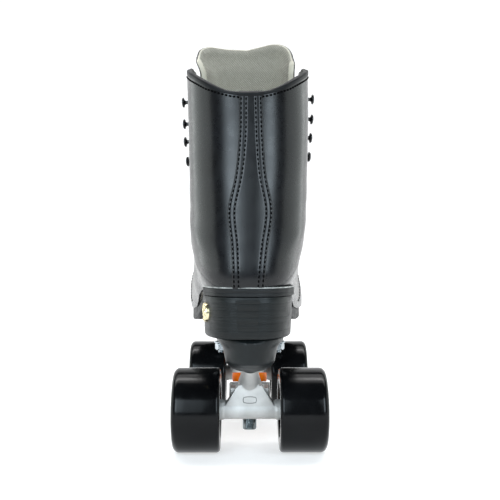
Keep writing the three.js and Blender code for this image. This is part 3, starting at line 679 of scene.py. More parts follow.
def patch(ts, angles, outer, inner, bulge=0.25):
    """A slab on the boot. ts and angles are grids; outer and inner are insets."""
    return slab(boot(ts, angles, outer), boot(ts, angles, inner), edge_bulge=bulge)


SEAM_LOW = 10.55  # the stations where the quarters' front edge meets the sole and the throat
SEAM_HIGH = 11.65
SEAM_STITCH_LINES = (0.09, 0.2)


def seam(share):
    """The station of the quarters' front edge, at a share of the way from the sole to the throat."""
    return SEAM_LOW + (SEAM_HIGH - SEAM_LOW) * share ** 1.4


def up_the_side(t, share):
    """The right-side angle at a share of the way from the sole or back to the throat."""
    return sole_angle(t) + (throat_angle(t) - sole_angle(t)) * share


def quarter_grid(side, rows=150, columns=64, start=0.0):
    """Stations and angles over one quarter, from the collar forwards and from the sole up to the throat."""
    a = np.linspace(0, 1, columns)[None, :]
    v = np.linspace(0, 1, rows)[:, None]
    t = start + (seam(a) - start) * v
    return t, side * np.clip(up_the_side(t, a), 0.004, math.pi - 0.003)


def along_surface(path, pitch):
    """Stations and angles at even steps along a path of (station, angle) pairs."""
    path = np.asarray(path, float)
    run = run_along(boot(path[:, 0], path[:, 1]))
    at = np.arange(pitch / 2, run[-1], pitch)
    return np.interp(at, run, path[:, 0]), np.interp(at, run, path[:, 1])


def stitch_verts(points, heading, up, length, radius):
    """A row of sewn stitches: small grains lying along the path."""
    grid = []
    for u in np.linspace(-1, 1, 7):
        r = math.sqrt(max(0.0, 1 - u ** 4))
        for k in range(6):
            w = 2 * math.pi * k / 6
            height = 0.8 * r * math.sin(w) - 0.25 * u * u
            grid.append([u * length / 2, r * radius * math.cos(w), radius * height])
    grid = np.array(grid)
    verts, faces = [], []
    base = grid_faces(7, 6, False, True)
    heading = heading / np.linalg.norm(heading, axis=1, keepdims=True)
    side = np.cross(up, heading)
    side /= np.maximum(np.linalg.norm(side, axis=1, keepdims=True), 1e-9)
    up = np.cross(heading, side)
    for i, (p, h, s, n) in enumerate(zip(points, heading, side, up)):
        verts.append(p + grid[:, :1] * h + grid[:, 1:2] * s + grid[:, 2:] * n)
        faces += [[v + i * len(grid) for v in f] for f in base]
    return np.concatenate(verts), faces


def sewn(paths, outset, pitch=3.0, length=2.3, radius=0.42):
    """Stitches along paths of (station, angle) pairs, standing outset above the boot."""
    parts = []
    for path in paths:
        t, a = along_surface(path, pitch)
        if len(t) < 3:
            continue
        points = boot(t, a, -outset)
        heading = np.gradient(points, axis=0)
        sign = 1 if outset > -1 else -1
        parts.append(stitch_verts(points, heading, normal(t, a) * sign, length, radius))
    return join(*parts)


# ---------------------------------------------------------------- upper
SIDES = ((-1, "lateral"), (1, "medial"))  # a left boot's outer side is on the left


def build_quarters():
    for side, word in SIDES:
        t, a = quarter_grid(side)
        skin = patch(t, a, 0.0, 1.5 + 0.4 * smoothstep(t, 0, 1.3))
        add(f"quarter_{word}_leather", *skin, LEATHER, replaces=[f"quarter_{word}"])
        # The lining starts just under the collar's edge and lies a hair inside the leather.
        t, a = quarter_grid(side, 110, 44, 0.03)
        lining = patch(t, a * 0.999, 1.75 + 0.3 * smoothstep(t, 0, 1.3), wall(t))
        add(f"quarter_{word}_lining", *lining, WOVEN)


def over_the_foot(t, share):
    """The angle at a share of the way from the sole's right edge, over the top, to its left edge."""
    low = sole_angle(t)
    return low + (2 * math.pi - 2 * low) * share


def build_vamp():
    """The vamp runs under the quarters: its rows bend with their front edges."""
    row = np.linspace(9.6, LAST - 0.02, 190)[:, None]
    share = np.linspace(0, 1, 111)[None, :]
    bend = smoothstep(row, 9.6, 10.5) * (1 - smoothstep(row, 12.0, 17.0))
    t = row + (seam(1 - np.abs(2 * share - 1)) - SEAM_LOW) * bend
    angle = over_the_foot(t, share)
    # Below the quarters the leather is skived and dips under them.
    under = 1.3 * (1 - smoothstep(row, SEAM_LOW + 0.02, SEAM_LOW + 0.2)) + 0 * share
    skin = slab(boot(t, angle, 0.75 + under), boot(t, angle, 2.6 + under * 0.8))
    add("vamp_leather", *skin, LEATHER, replaces=["vamp"])
    t = np.linspace(10.6, LAST - 0.5, 70)[:, None] + 0 * share
    angle = over_the_foot(t, share)
    add("vamp_lining", *slab(boot(t, angle, 2.9), boot(t, angle, WALL)), WOVEN)
    paths = []
    for back in SEAM_STITCH_LINES:
        a = np.linspace(0.12, 0.86, 200)
        t = seam(a) - back
        paths += [np.stack([t, side * up_the_side(t, a)], 1) for side in (-1, 1)]
    add("vamp_seam_stitches", *sewn(paths, 0.12), THREAD)


def back_angle(t, across):
    """The angle at a distance across the back from the boot's middle plane, in millimetres."""
    row = station(t)
    x = np.clip(np.abs(across) / row[..., 4], 0, 1)
    return np.sign(across) * np.arcsin(x ** (row[..., 7] / 2))


# The backstay strip: its half width and how far its middle leans to the right, at a station.
BACKSTAY = np.array([[0.0, 7.1], [1.0, 7.5], [1.75, 8.6], [2.3, 10.2], [2.75, 12.8], [3.15, 14.3],
                     [3.6, 13.4], [4.1, 11.9], [5.0, 11.2], [6.0, 11.0]])
BACKSTAY_SHIFT = np.array([[0.0, 1.7], [3.0, 1.0], [6.0, 0.4]])
STITCH_LINES = (1.2, 4.3)  # how far in from the strip's edge each row of stitches runs


def backstay_half(t):
    """The strip's half width, its corners softened by averaging near by."""
    offsets = np.linspace(-0.22, 0.22, 9)
    return np.mean([np.interp(np.asarray(t) + o, BACKSTAY[:, 0], BACKSTAY[:, 1]) for o in offsets], axis=0)


def backstay_angle(t, across):
    """The angle at a distance across from the strip's own middle."""
    return back_angle(t, across + np.interp(t, BACKSTAY_SHIFT[:, 0], BACKSTAY_SHIFT[:, 1]))


def build_backstay():
    share = np.linspace(-1, 1, 121)[None, :]
    t = np.linspace(-0.02, 5.85, 260)[:, None] + 0 * share
    half = backstay_half(t)
    angle = backstay_angle(t, share * half)
    # The thread pulls two channels into the strip along each edge.
    from_edge = half * (1 - np.abs(share))
    sunk = sum(0.2 * np.exp(-((from_edge - line) / 0.6) ** 2) for line in STITCH_LINES)
    rim = 0.5 * np.clip(1 - from_edge / 0.7, 0, 1) ** 2
    strip = slab(boot(t, angle, -1.15 + sunk + rim), boot(t, angle, 0.1), edge_bulge=0.1)
    add("backstay_strip", *strip, TRIM, replaces=["backstay"])
    ts = np.linspace(0.12, 5.7, 160)
    paths = []
    for inward in STITCH_LINES:
        for side in (-1, 1):
            paths.append(np.stack([ts, backstay_angle(ts, side * (backstay_half(ts) - inward))], 1))
    add("backstay_stitches", *sewn(paths, 0.98, 2.9, 2.1, 0.58), THREAD)
    # The strip's top folds over the collar: [distance down from the edge, inset].
    fold = [[2.6, -1.3], [1.2, -1.75], [0.0, -1.7], [-0.9, -0.9], [-1.25, 0.6], [-1.25, 2.6], [-0.8, 4.4],
            [0.6, 5.0], [3.2, 5.0], [3.3, 3.8], [0.2, 3.0], [0.2, 0.6], [2.6, -0.2]]
    angle = backstay_angle(np.zeros(21), np.linspace(-1, 1, 21) * 7.6)
    rows = np.array([boot(down / STEP + 0 * angle, angle, inset) for down, inset in fold])
    add("backstay_fold", *tower(rows.transpose(1, 0, 2)), BINDING, sharp=60)


def build_binding():
    """The rolled collar binding, with a sewn line under it."""
    end = float(throat_angle(0.0))
    angles = np.linspace(-end, end, 200)
    ring = rounded([[2.4, 0.15], [2.4, -0.3], [0.2, -0.4], [-0.7, 0.4], [-0.7, 1.9], [0.2, 2.9], [3.6, 2.95],
                    [3.6, 2.3], [0.4, 1.9], [0.4, 0.8]], 0.9, True)
    # It thins towards its two ends, where the leather is skived.
    thin = 0.45 * smoothstep(np.abs(angles), end - 0.45, end)
    rows = [boot(down / STEP + 0 * angles, angles, inset + (1.1 - inset) * thin) for down, inset in ring]
    add("collar_binding", *tower(np.array(rows).transpose(1, 0, 2)), BINDING, sharp=70)
    angles = np.linspace(-end + 0.03, end - 0.03, 300)
    outside, inside = (np.stack([np.full(300, down / STEP), angles], 1) for down in (3.9, 5.0))
    add("collar_stitches", *sewn([outside], 0.15, 2.6, 2.1, 0.62), THREAD)
    add("collar_inner_stitches", *sewn([inside], -2.65, 2.6, 2.0, 0.36), PALE_THREAD)


def distance_behind(t, back_by):
    """The right-side angle that lies back_by millimetres behind the throat's edge."""
    trial = np.linspace(0, 1.2, 60)
    out = []
    for ti, edge, distance in zip(t, throat_angle(t), np.broadcast_to(back_by, np.shape(t))):
        run = run_along(boot(ti, edge - trial))
        out.append(edge - np.interp(distance, run, trial))
    return np.array(out)


EYESTAY_WIDTH = 19.0


def build_eyestays():
    ts = np.linspace(0.16, 11.55, 170)
    taper = EYESTAY_WIDTH - 4.0 * np.clip((ts - 5) / 6, 0, 1)
    inner_edge = distance_behind(ts, 0.4)[:, None]
    outer_edge = distance_behind(ts, taper)[:, None]
    angle = inner_edge + (outer_edge - inner_edge) * np.linspace(0, 1, 15)[None, :]
    t = ts[:, None] + 0 * angle
    sewn_at = slice(2, -2)
    rows = (1.6 + 0 * taper, taper - 3.6, taper - 1.5)
    lines = [distance_behind(ts[sewn_at], row[sewn_at]) for row in rows]
    upper = slice(2, 120)
    inside = distance_behind(ts[upper], (taper - 1.8)[upper])
    for side, word in SIDES:
        add(f"eyestay_{word}", *patch(t, side * angle, -1.05, 0.15, 0.3), TRIM)
        facing = patch(t, side * angle, wall(t) - 0.2, wall(t) + 0.9, 0.3)
        add(f"facing_{word}", *facing, CREAM)
        stitches = sewn([np.stack([ts[sewn_at], side * line], 1) for line in lines], 1.1)
        add(f"eyestay_{word}_stitches", *stitches, THREAD)
        stitches = sewn([np.stack([ts[upper], side * inside], 1)], -WALL - 0.9)
        add(f"facing_{word}_stitches", *stitches, THREAD)


def build_eyelets():
    """Enamelled eyelets below the hooks, down to the throat's foot, each with a dark plug in its hole."""
    rows = np.array([3.75, 4.7, 5.75, 6.9, 8.1, 9.35])
    ring = [[1.9, -0.4], [3.6, -0.4], [3.6, 0.25], [2.8, 0.85], [1.9, 0.6]]
    plug = [[0, -0.9], [1.95, -0.9], [1.95, 0.1], [0, 0.1]]
    parts = []
    for side in (-1, 1):
        for t, a in zip(rows, distance_behind(rows, 8.0)):
            at, out = boot(t, side * a, -1.05), normal(np.array(t), np.array(side * a))
            parts += [turned(ring, 0.35, at, out, 28), lathe(plug, at, out, 20)]
    add("eyelets", *join(*parts), ENAMEL)


def build_hooks():
    """Spool-shaped lace hooks where the CAD ones stand."""
    profile = rounded([[0, -1.2], [4.0, -1.2], [4.2, -0.6], [3.4, 0.2], [1.7, 0.7], [1.35, 1.6], [1.35, 3.1],
                       [1.9, 3.9], [3.6, 4.3], [3.75, 5.0], [3.3, 5.6], [1.6, 6.1], [0, 6.2]], 0.3)
    for side, word in SIDES:
        for i in range(1, 5):
            node = f"hook_{word}_{i}"
            t, angle = nearest_on_boot(centre_mm(node), side)
            out = normal(np.array(t), np.array(angle))
            hook = lathe(profile, boot(t, angle, -1.05) + out * 0.5, out, 40)
            add(f"lace_{node}", *hook, ENAMEL, replaces=[node])


def nearest_on_boot(point, side):
    """The station and angle under a hook's middle."""
    ts = np.linspace(0.1, 4.5, 221)[:, None]
    angles = side * np.linspace(0.8, 3.0, 221)[None, :]
    gap = np.linalg.norm(boot(ts, angles, -3.5) - point, axis=-1)
    i, j = np.unravel_index(np.argmin(gap), gap.shape)
    return float(ts[i, 0]), float(angles[0, j])


# ---------------------------------------------------------------- tongue
TONGUE_SPREAD = 1.2  # half the angle that the tongue covers at its top
# The top edge, from the right edge to the left: [share of the half width, height].
TONGUE_TOP = np.array([[-1.0, 273], [-0.99, 280], [-0.95, 287], [-0.86, 293.8], [-0.7, 297.2], [-0.5, 297.5],
                       [-0.28, 295.4], [0.02, 292.6], [0.32, 293.4], [0.7, 295.2], [0.87, 292.8],
                       [0.95, 288.8], [0.985, 281.5], [1.0, 274.5]])


def tongue_spread(t, angle, inset):
    """The boot's surface, spread a little to the left where the tongue stands free of the collar."""
    free = smoothstep(-t, -0.05, 0.5)
    p = boot(t, angle, inset - 2.7 * free)
    p[..., 0] -= 1.6 * free
    return p


def tongue_point(side, down, inset):
    """side runs from -1 to 1 across, down from 0 at the top edge to 1 in the throat's foot."""
    side, down = np.broadcast_arrays(np.asarray(side, float), np.asarray(down, float))
    offsets = np.linspace(-0.05, 0.05, 5)
    turn = np.sin(np.abs(side) * TONGUE_SPREAD) / math.sin(TONGUE_SPREAD)
    across = np.sign(side) * turn ** (2 / STATIONS[0, 8])
    height = np.mean([np.interp(across + o, TONGUE_TOP[:, 0], TONGUE_TOP[:, 1]) for o in offsets], axis=0)
    top = np.full(side.shape, -0.5)
    for _ in range(8):
        top = top + (tongue_spread(top, math.pi + side * TONGUE_SPREAD, WALL + 1)[..., 2] - height) / STEP
    t = top + (11.2 - top) * down
    spread = TONGUE_SPREAD + (0.42 - TONGUE_SPREAD) * np.clip(t / 7, 0, 1)
    return tongue_spread(t, math.pi + side * spread, inset)


def build_tongue():
    side = np.linspace(-1, 1, 65)
    side = np.sign(side) * np.abs(side) ** 0.9
    down = [np.linspace(0, 0.03, 8)[:-1], np.linspace(0.03, 0.3, 50)[:-1], np.linspace(0.3, 1, 60)]
    down = np.concatenate(down)
    s, d = np.meshgrid(side, down)
    face = WALL + 1.2
    # The padding is thickest away from the edges, in sewn channels along the foot.
    edge = np.minimum(1, (1 - np.abs(s)) / 0.14) ** 0.5 * np.minimum(1, d / 0.012 + 0.15) ** 0.5
    channel = 0.25 * np.abs(np.sin(s * math.pi * 2.5)) ** 0.5
    outer = tongue_point(s, d, face + 0.9 * (1 - edge))
    inner = tongue_point(s, d, face + 2.2 + (2.2 + channel) * edge)
    verts, faces = slab(outer, inner, 3, 0.5)
    rows, columns = s.shape
    cells = (rows - 1) * (columns - 1)
    # The front is leather, the back woven between two cream bands, and the rim's back half cream.
    index = np.zeros(len(faces), int)
    band = np.abs(0.5 * (s[1:, 1:] + s[:-1, :-1])) > 0.86
    index[cells:2 * cells] = np.where(band, 1, 2).reshape(-1)
    index[cells + len(faces) // 2:] = 1
    tongue = add("tongue_padded", verts, faces, TRIM, slot="tongue_leather", replaces=["tongue"], sharp=50,
                 more=[CREAM, WOVEN], index=index)
    rows = []
    for edge_side in (-0.865, 0.865):
        d = np.linspace(0.012, 0.75, 400)
        p = tongue_point(np.full(400, edge_side), d, face + 4.5)
        run = run_along(p)
        at = np.arange(1.5, run[-1], 2.8)
        q = np.stack([np.interp(at, run, p[:, k]) for k in range(3)], 1)
        towards = tongue_point(np.zeros(len(q)), np.interp(at, run, d), face + 30) - q
        towards /= np.linalg.norm(towards, axis=1, keepdims=True)
        rows.append(stitch_verts(q, np.gradient(q, axis=0), towards, 2.0, 0.35))
    add("tongue_stitches", *join(*rows), PALE_THREAD, slot="tongue_leather")


# ---------------------------------------------------------------- sole and heel
# The sole's outline and the height of its underside. The y values count from the rear axle.
SOLE_OUTLINE = [[-1.5, -57], [-20.5, -50], [-30, -30], [-31.5, -5], [-33, 25], [-38, 60], [-44.5, 95],
                [-47.4, 125], [-45.8, 155], [-38, 187], [-22, 212], [4, 224.5], [27, 216], [39.5, 191],
                [43.8, 160], [43.8, 130], [38.5, 95], [31, 60], [27.5, 25], [28.5, -5], [28, -30],
                [18, -50.5]]
SOLE_UNDER = np.array([[-75, 108.7], [18, 108.7], [40, 98], [68, 88], [92, SOLE_BASE], [170, SOLE_BASE],
                       [200, 84.3], [235, 88.5]])


def closed_curve(points, count):
    """A closed Catmull-Rom curve through the points, at even steps."""
    p = np.asarray(points, float)
    dense = []
    for i in range(len(p)):
        a, b, c, d = (p[(i + k) % len(p)] for k in (-1, 0, 1, 2))
        dense += [catmull(a, b, c, d, u) for u in np.linspace(0, 1, 24, endpoint=False)]
    dense = np.array(dense + [dense[0]])
    run = run_along(dense)
    at = np.linspace(0, run[-1], count, endpoint=False)
    return np.stack([np.interp(at, run, dense[:, k]) for k in range(2)], 1)


def outline_offset(outline, distance):
    """The outline moved outwards by distance."""
    tangent = np.roll(outline, -1, 0) - np.roll(outline, 1, 0)
    tangent /= np.linalg.norm(tangent, axis=1, keepdims=True)
    side = np.stack([tangent[:, 1], -tangent[:, 0]], 1)
    area = np.sum(outline[:, 0] * np.roll(outline[:, 1], -1) - np.roll(outline[:, 0], -1) * outline[:, 1])
    return outline + side * distance * (1 if area > 0 else -1)


def softened(table, y):
    """The table's height at y, its corners softened by averaging near by."""
    offsets = np.linspace(-7, 7, 9)
    return np.mean([np.interp(y + o, table[:, 0], table[:, 1]) for o in offsets], axis=0)


def raised(outline, height):
    """The outline in the part's frame, at a height that is a function of y."""
    return np.column_stack([outline[:, 0], outline[:, 1] + REAR_AXLE_Y, height(outline[:, 1])])


def layered(levels, count=220, centre=(0, 85)):
    """A closed slab of outline rings. levels are (offset, height function of y) pairs from bottom to top."""
    outline = closed_curve(SOLE_OUTLINE, count)
    rings = []

    def ring(offset, height, share=1.0):
        o = outline_offset(outline, offset)
        o = (o - centre) * share + centre
        rings.append(raised(o, height))

    for share in (0.02, 0.35, 0.65, 0.88):
        ring(levels[0][0], levels[0][1], share)
    for offset, height in levels:
        ring(offset, height)
    for share in (0.88, 0.65, 0.35, 0.02):
        ring(levels[-1][0], levels[-1][1], share)
    return tower(rings)


def build_sole():
    def top(y):
        return softened(SOLE_LINE, y)

    def under(y):
        return np.minimum(softened(SOLE_UNDER, y), top(y) - 4.5)

    def between(share, shift=0.0):
        return lambda y: under(y) + (top(y) - under(y)) * share + shift

    # From the bottom: the rubber sole, a fine groove, the midsole and its rounded upper edge.
    levels = [(-0.3, under), (0, between(0, 0.25)), (0, between(0, 0.7)), (0, between(0.40)),
              (-0.18, between(0.43)), (-0.18, between(0.46)), (0, between(0.49)), (0, between(0.86, -0.2)),
              (-0.1, between(1, -0.5)), (-0.6, between(1, -0.12)), (-1.3, between(1))]
    add("outsole_layers", *layered(levels), SOLE, replaces=["outsole"], sharp=50)
    outline = closed_curve(SOLE_OUTLINE, 330)
    sewn_line = outline_offset(outline, -1.7)
    fore = sewn_line[:, 1] > 35
    p = raised(sewn_line, top) + (0, 0, 0.1)
    heading = np.roll(p, -1, 0) - np.roll(p, 1, 0)
    up = np.tile([0.0, 0.0, 1.0], (len(p), 1))
    # A thin bead lies in the corner between the leather and the sole; its pale grey is a painted highlight,
    # the gleam along the glossy joint.
    bead = outline_offset(outline, -0.75)
    ring = raised(bead, top) + (0, 0, 0.1)
    out = np.column_stack([bead - outline_offset(outline, -1.75), np.zeros(len(bead))])
    turns = np.linspace(0, 2 * math.pi, 9)[:-1]
    rows = [ring + 0.5 * math.cos(w) * out + [0, 0, 0.5 * math.sin(w)] for w in turns]
    bead = weld(np.concatenate(rows), grid_faces(8, len(ring), True, True))
    add("welt_highlight_bead", *bead, WELT_HIGHLIGHT)
    stitches = stitch_verts(p[fore], heading[fore], up[fore], 1.9, 0.36)
    add("welt_stitches", *stitches, THREAD, slot="sole_rubber")


def heel_outline(lean):
    """The heel's outline at a height, drawn in by lean: a broad round back and a hollow front."""
    half = 29.8 - lean
    angle = np.linspace(0, math.pi, 120)
    c, s = np.cos(angle), np.sin(angle)
    back_y = REAR_AXLE_Y - 8 - (48 - lean) * s ** 0.86
    back = np.column_stack([-1.5 + half * np.sign(c) * np.abs(c) ** 0.68, back_y])
    x = np.linspace(-1, 1, 40)[1:-1]
    front = np.column_stack([-1.5 + half * x, REAR_AXLE_Y + 12 + 5 * np.abs(x) ** 1.6])
    return np.concatenate([back, front])


HEEL_LIFTS = 6


def build_heel():
    low, high = box_mm("heel_block")
    bottom, top = low[2], high[2]
    rings = []

    def ring(z, lean):
        o = heel_outline(lean)
        rings.append(np.column_stack([o, np.full(len(o), z)]))

    ring(bottom, 2.4)
    ring(bottom + 0.25, 1.7)
    ring(bottom + 0.9, 1.15)
    height = (top - bottom - 0.9) / HEEL_LIFTS
    for i in range(HEEL_LIFTS):
        z = bottom + 0.9 + i * height
        lean = 1.1 - 1.05 * (z - bottom) / (top - bottom)
        # A hairline groove parts this lift from the one below.
        for step, groove in ((-0.1, 0), (-0.03, 0.09), (0.03, 0.09), (0.1, 0)) if i else ():
            ring(z + step, lean + groove)
    ring(top - 0.3, 0.05)
    ring(top, 0.35)
    add("heel_stack", *tower(rings), HEEL, replaces=["heel_block"], sharp=50)


def build_stud():
    """A pressed brass stud: a plain rim, eight petals and a small dome."""
    out = np.array([-1.0, -0.26, 0.0])
    out /= np.linalg.norm(out)
    at = centre_mm("heel_stud") - out * 1.6
    radii = np.linspace(0, 6.3, 40)
    sides = 96

    def height(r, angle):
        petal = np.clip((r - 1.9) / 0.8, 0, 1) * np.clip((5.1 - r) / 0.7, 0, 1)
        lobes = np.abs(np.cos(4 * angle)) ** 0.6
        dome = 1.5 * np.sqrt(np.clip(1 - (r / 1.7) ** 2, 0, 1))
        rim = 0.75 * np.exp(-((r - 5.7) / 0.38) ** 2)
        return 1.1 + 0.75 * petal * lobes + dome + rim - 0.8 * np.clip((r - 6.05) / 0.25, 0, 1)

    angle = around(sides)
    rows = [np.stack([r * np.cos(angle), r * np.sin(angle), height(r, angle)], 1) for r in radii]
    rows.append(np.stack([6.3 * np.cos(angle), 6.3 * np.sin(angle), np.full(sides, -0.6)], 1))
    verts = np.concatenate(rows)
    verts = verts @ turn_to(out).T + at
    faces = grid_faces(len(rows), sides, False, True) + [list(range(len(verts) - sides, len(verts)))]
    add("heel_stud_brass", *weld(verts, faces), BRASS, replaces=["heel_stud"], sharp=60)


def build_insole():
    t = np.linspace(5.9, LAST - 1.2, 90)
    edge = sole_angle(t) + 0.05
    rows = np.array([boot(ti, np.array([ei, -ei]), WALL + 0.1) for ti, ei in zip(t, edge)])
    y = rows[:, 0, 1]
    keep = np.concatenate([[True], np.diff(np.maximum.accumulate(y)) > 0.05])
    rows = rows[keep]
    share = np.linspace(0, 1, 31)[None, :, None]
    top = rows[:, :1] * (1 - share) + rows[:, 1:] * share
    dish = 1 - (2 * share[..., 0] - 1) ** 2
    top[..., 2] = sole_height(top[..., 1]) + 3.5 - 0.8 * dish
    base = top.copy()
    base[..., 2] = sole_height(top[..., 1]) + 0.3
    add("insole_lining", *slab(top, base), WOVEN, replaces=["insole"])


# ---------------------------------------------------------------- trucks and wheels
# Places in a truck's own frame, whose origin is the middle of its axle.
PIVOT = np.array([0, -30, 38.5])
RING = np.array([0, 20, 10])
STEER = (RING - PIVOT) / np.linalg.norm(RING - PIVOT)
KINGPIN = np.array([0, math.sin(math.radians(10)), math.cos(math.radians(10))])
KINGPIN_RADIUS = 4.75
RING_HALF = 5.5


def prism_x(outline, half):
    """A polygon of (y, z) points run across X."""
    return tower([[(x, y, z) for y, z in outline] for x in (-half, half)])


def hanger_mesh():
    """One casting: the axle's tube, a web, the kingpin's ring on its shelf, and an arm to the pivot."""
    tube = lathe([[0, -21.6], [6.7, -21.6], [6.9, -21.2], [6.9, -18.2], [6.4, -17.4], [6.3, 0], [6.4, 17.4],
                  [6.9, 18.2], [6.9, 21.2], [6.7, 21.6], [0, 21.6]], ORIGIN, X_AXIS, 64)
    outline = [[-17.6, 2.5], [-8.1, 17.5], [8.1, 17.5], [17.6, 2.5], [15, -3], [-15, -3]]
    web = tower([[(x, y, z) for x, z in outline] for y in (-5.6, 5.6)])
    ring = [[0, -RING_HALF], [14.5, -RING_HALF], [14.5, RING_HALF], [0, RING_HALF]]
    ring = lathe(rounded(ring, 1.0), RING, KINGPIN, 72)
    reach = float(np.linalg.norm(RING - PIVOT))
    arm = lathe([[0, -4], [1.9, -4], [3.6, -3.1], [4.6, -1], [4.8, 0], [4.8, 5.8], [5.7, 7.4], [5.8, 22],
                 [6.6, 32], [8.0, 43], [8.2, reach], [0, reach]], PIVOT, STEER, 56)
    keel = lathe([[0, 12], [5.5, 12], [5.7, 22], [6.4, 32], [7.9, 43], [8.0, reach], [0, reach]],
                 PIVOT, RING - PIVOT + (0, 0, -5), 56)
    shelf = prism_x([[-2, 4.4], [-2, 15], [15, 15], [15, 4.4]], 13.2)
    # Above and below the ring, the casting is cut back to clear the cushions.
    above = lathe([[0, RING_HALF], [13.2, RING_HALF], [13.2, 40], [0, 40]], RING, KINGPIN, 72)
    below = lathe([[0, -40], [9.3, -40], [9.3, -14.6], [11, -14.2], [11, -11.5], [12.9, -RING_HALF],
                   [0, -RING_HALF]], RING, KINGPIN, 72)
    bore = lathe([[0, -20], [6.35, -20], [6.35, 20], [0, 20]], RING, KINGPIN, 48)
    verts, faces = moulded([tube, web, shelf, ring, arm, keel], [above, below, bore], 0.45, 5)
    # The tube's ends are left rough from the mould.
    x, y, z = verts.T
    radius = np.hypot(y, z)
    band = np.clip((np.abs(x) - 17.6) / 0.8, 0, 1) * (radius > 5)
    knobs = np.sin(x * 5.1) * np.sin(y * 3.3 + z * 1.7) * np.sin(z * 4.3)
    grow = band * (0.22 * knobs - 0.05) / np.maximum(radius, 1e-6)
    return np.column_stack([x, y * (1 + grow), z * (1 + grow)]), faces


def web_mark():
    """A plain raised oval, the casting's own mark, on the web's rear face; it is drawn in darker metal as
    painted shade along its outline.
    """
    turns = np.linspace(0, 2 * math.pi, 64, endpoint=False)
    c, s = np.cos(turns), np.sin(turns)
    core = np.stack([3.0 * np.clip(1.6 * c, -1, 1) + 1.5 * c, 2.2 * s], 1)
    rows = []
    for grow, out in ((-0.3, -0.5), (-0.3, 0.12), (-0.12, 0.26), (0.12, 0.26), (0.3, 0.12), (0.3, -0.5)):
        o = outline_offset(core, grow)
        rows.append(np.column_stack([o[:, 0], np.full(64, -5.5 - out), o[:, 1] + 7.6]))
    return weld(np.concatenate(rows), grid_faces(6, 64, True, True))


def truck_frames():
    return {
        "rear": Matrix.Translation((0, REAR_AXLE_Y, AXLE_Z)),
        "front": Matrix.Translation((0, FRONT_AXLE_Y, AXLE_Z)) @ Matrix.Rotation(math.pi, 4, "Z"),
    }


def putter(place, label):
    """A function that adds a piece made in a truck's or a wheel's own frame."""

    def put(name, part, material, on, replaces=(), sharp=35):
        verts, faces = part
        add(f"{name}_{label}", move(verts, place), faces, material, on, None, replaces, sharp)

    return put


AXLE_END = 53.4


def build_truck(end, place, hanger):
    body = f"truck_{end}"
    put = putter(place, end)
    put("hanger_cast", hanger, CAST, body, [f"hanger_{end}"], 40)
    # The raised oval on the web, in darker metal: painted shade along its outline.
    put("casting_mark", web_mark(), MARK_SHADE, body)
    tip = [[3.9, AXLE_END - 0.8], [3.2, AXLE_END], [0, AXLE_END]]
    axle = [[r, -x] for r, x in tip[::-1]] + thread_profile(4.0, -AXLE_END + 0.8, -45.5, 1.0, 0.45)
    axle += [[4.0, -45.3], [4.0, 45.3]] + thread_profile(4.0, 45.5, AXLE_END - 0.8, 1.0, 0.45) + tip
    put("axle_shaft", lathe(axle, ORIGIN, X_AXIS, 48), STEEL, body, [f"axle_{end}"])
    pin = [[0, -24], [4.2, -24]] + thread_profile(KINGPIN_RADIUS, -23, -12, 1.06, 0.5)
    pin += [[KINGPIN_RADIUS, -11.6], [KINGPIN_RADIUS, 12.2], [5.9, 12.3], [5.9, 15.8], [4.7, 15.9], [4.7, 31],
            [0, 31]]
    # The pin's lower end is six-sided, for the spanner that holds it.
    end_hex = lathe([[0, 19]] + [[4.2, a] for a in (19, 19.6, 20.4, 26.2, 27, 27.6)] + [[0, 27.6]], RING,
                    -KINGPIN, 96, False, hex_shape(8.4, False, True, 19, 27.6))
    bolt = join(lathe(pin, RING, KINGPIN, 48), end_hex)
    put("kingpin_bolt", bolt, DARK_STEEL, "boot", [f"kingpin_{end}"])
    top = RING_HALF + 0.25
    upper = [[5.05, top], [12.2, top], [12.4, top + 3.1], [12.2, top + 6.2], [5.05, top + 6.2]]
    lower = [[5.05, -11.5], [10, -11.5], [11.2, -8.6], [12, -top], [5.05, -top]]
    for name, profile, node in (("cushion_top", upper, "upper"), ("cushion_base", lower, "lower")):
        cushion = turned(profile, 0.6, RING, KINGPIN, 80)
        put(name, cushion, CUSHION, "boot", [f"cushion_{node}_{end}"])
    nut = hex_nut(14.2, 5.0, RING, -KINGPIN, 13.4, 18.6)
    collar = turned([[5.0, 18.2], [6.5, 18.2], [6.3, 19.6], [5.0, 19.9]], 0.3, RING, -KINGPIN, 48)
    disc = turned([[5.05, 11.8], [10.2, 11.8], [10.2, 13.4], [5.05, 13.4]], 0.35, RING, -KINGPIN, 72)
    put("kingpin_locknut", join(nut, collar, disc), DARK_STEEL, "boot", [f"kingpin_nut_{end}"])
    cup = rounded([[0, -8], [7.6, -8], [7.6, 5.3], [5.25, 5.3], [5.25, -1], [4.2, -4.2], [2.2, -5.2],
                   [0, -5.2]], 0.4)
    put("pivot_bush", lathe(cup, PIVOT, STEER, 56), SOLE, "boot", [f"pivot_cup_{end}"])


def tyre_profile():
    """The right-hand tyre's section about its axle, as [radius, distance along X]."""
    inner, outer = 20.0, 52.0

    def arc(along, out, radius, start, end, steps=7):
        turns = np.linspace(start, end, steps)
        return [[out + radius * math.sin(w), along + radius * math.cos(w)] for w in turns]

    half = math.pi / 2
    tread = [[18.0, inner + 2.2], [18.4, inner + 0.9], [19.4, inner + 0.15]]
    tread += arc(inner + 2.5, 26.0, 2.5, math.pi, half)
    tread += [[28.48, inner + 12], [28.5, outer - 10]]
    tread += arc(outer - 4.3, 24.2, 4.3, half, 0, 9)
    tread += [[22.0, outer - 0.05], [20.4, outer - 0.35], [19.2, outer - 1.2], [18.0, outer - 2.4]]
    return tread


HUB_SPOKES = 8


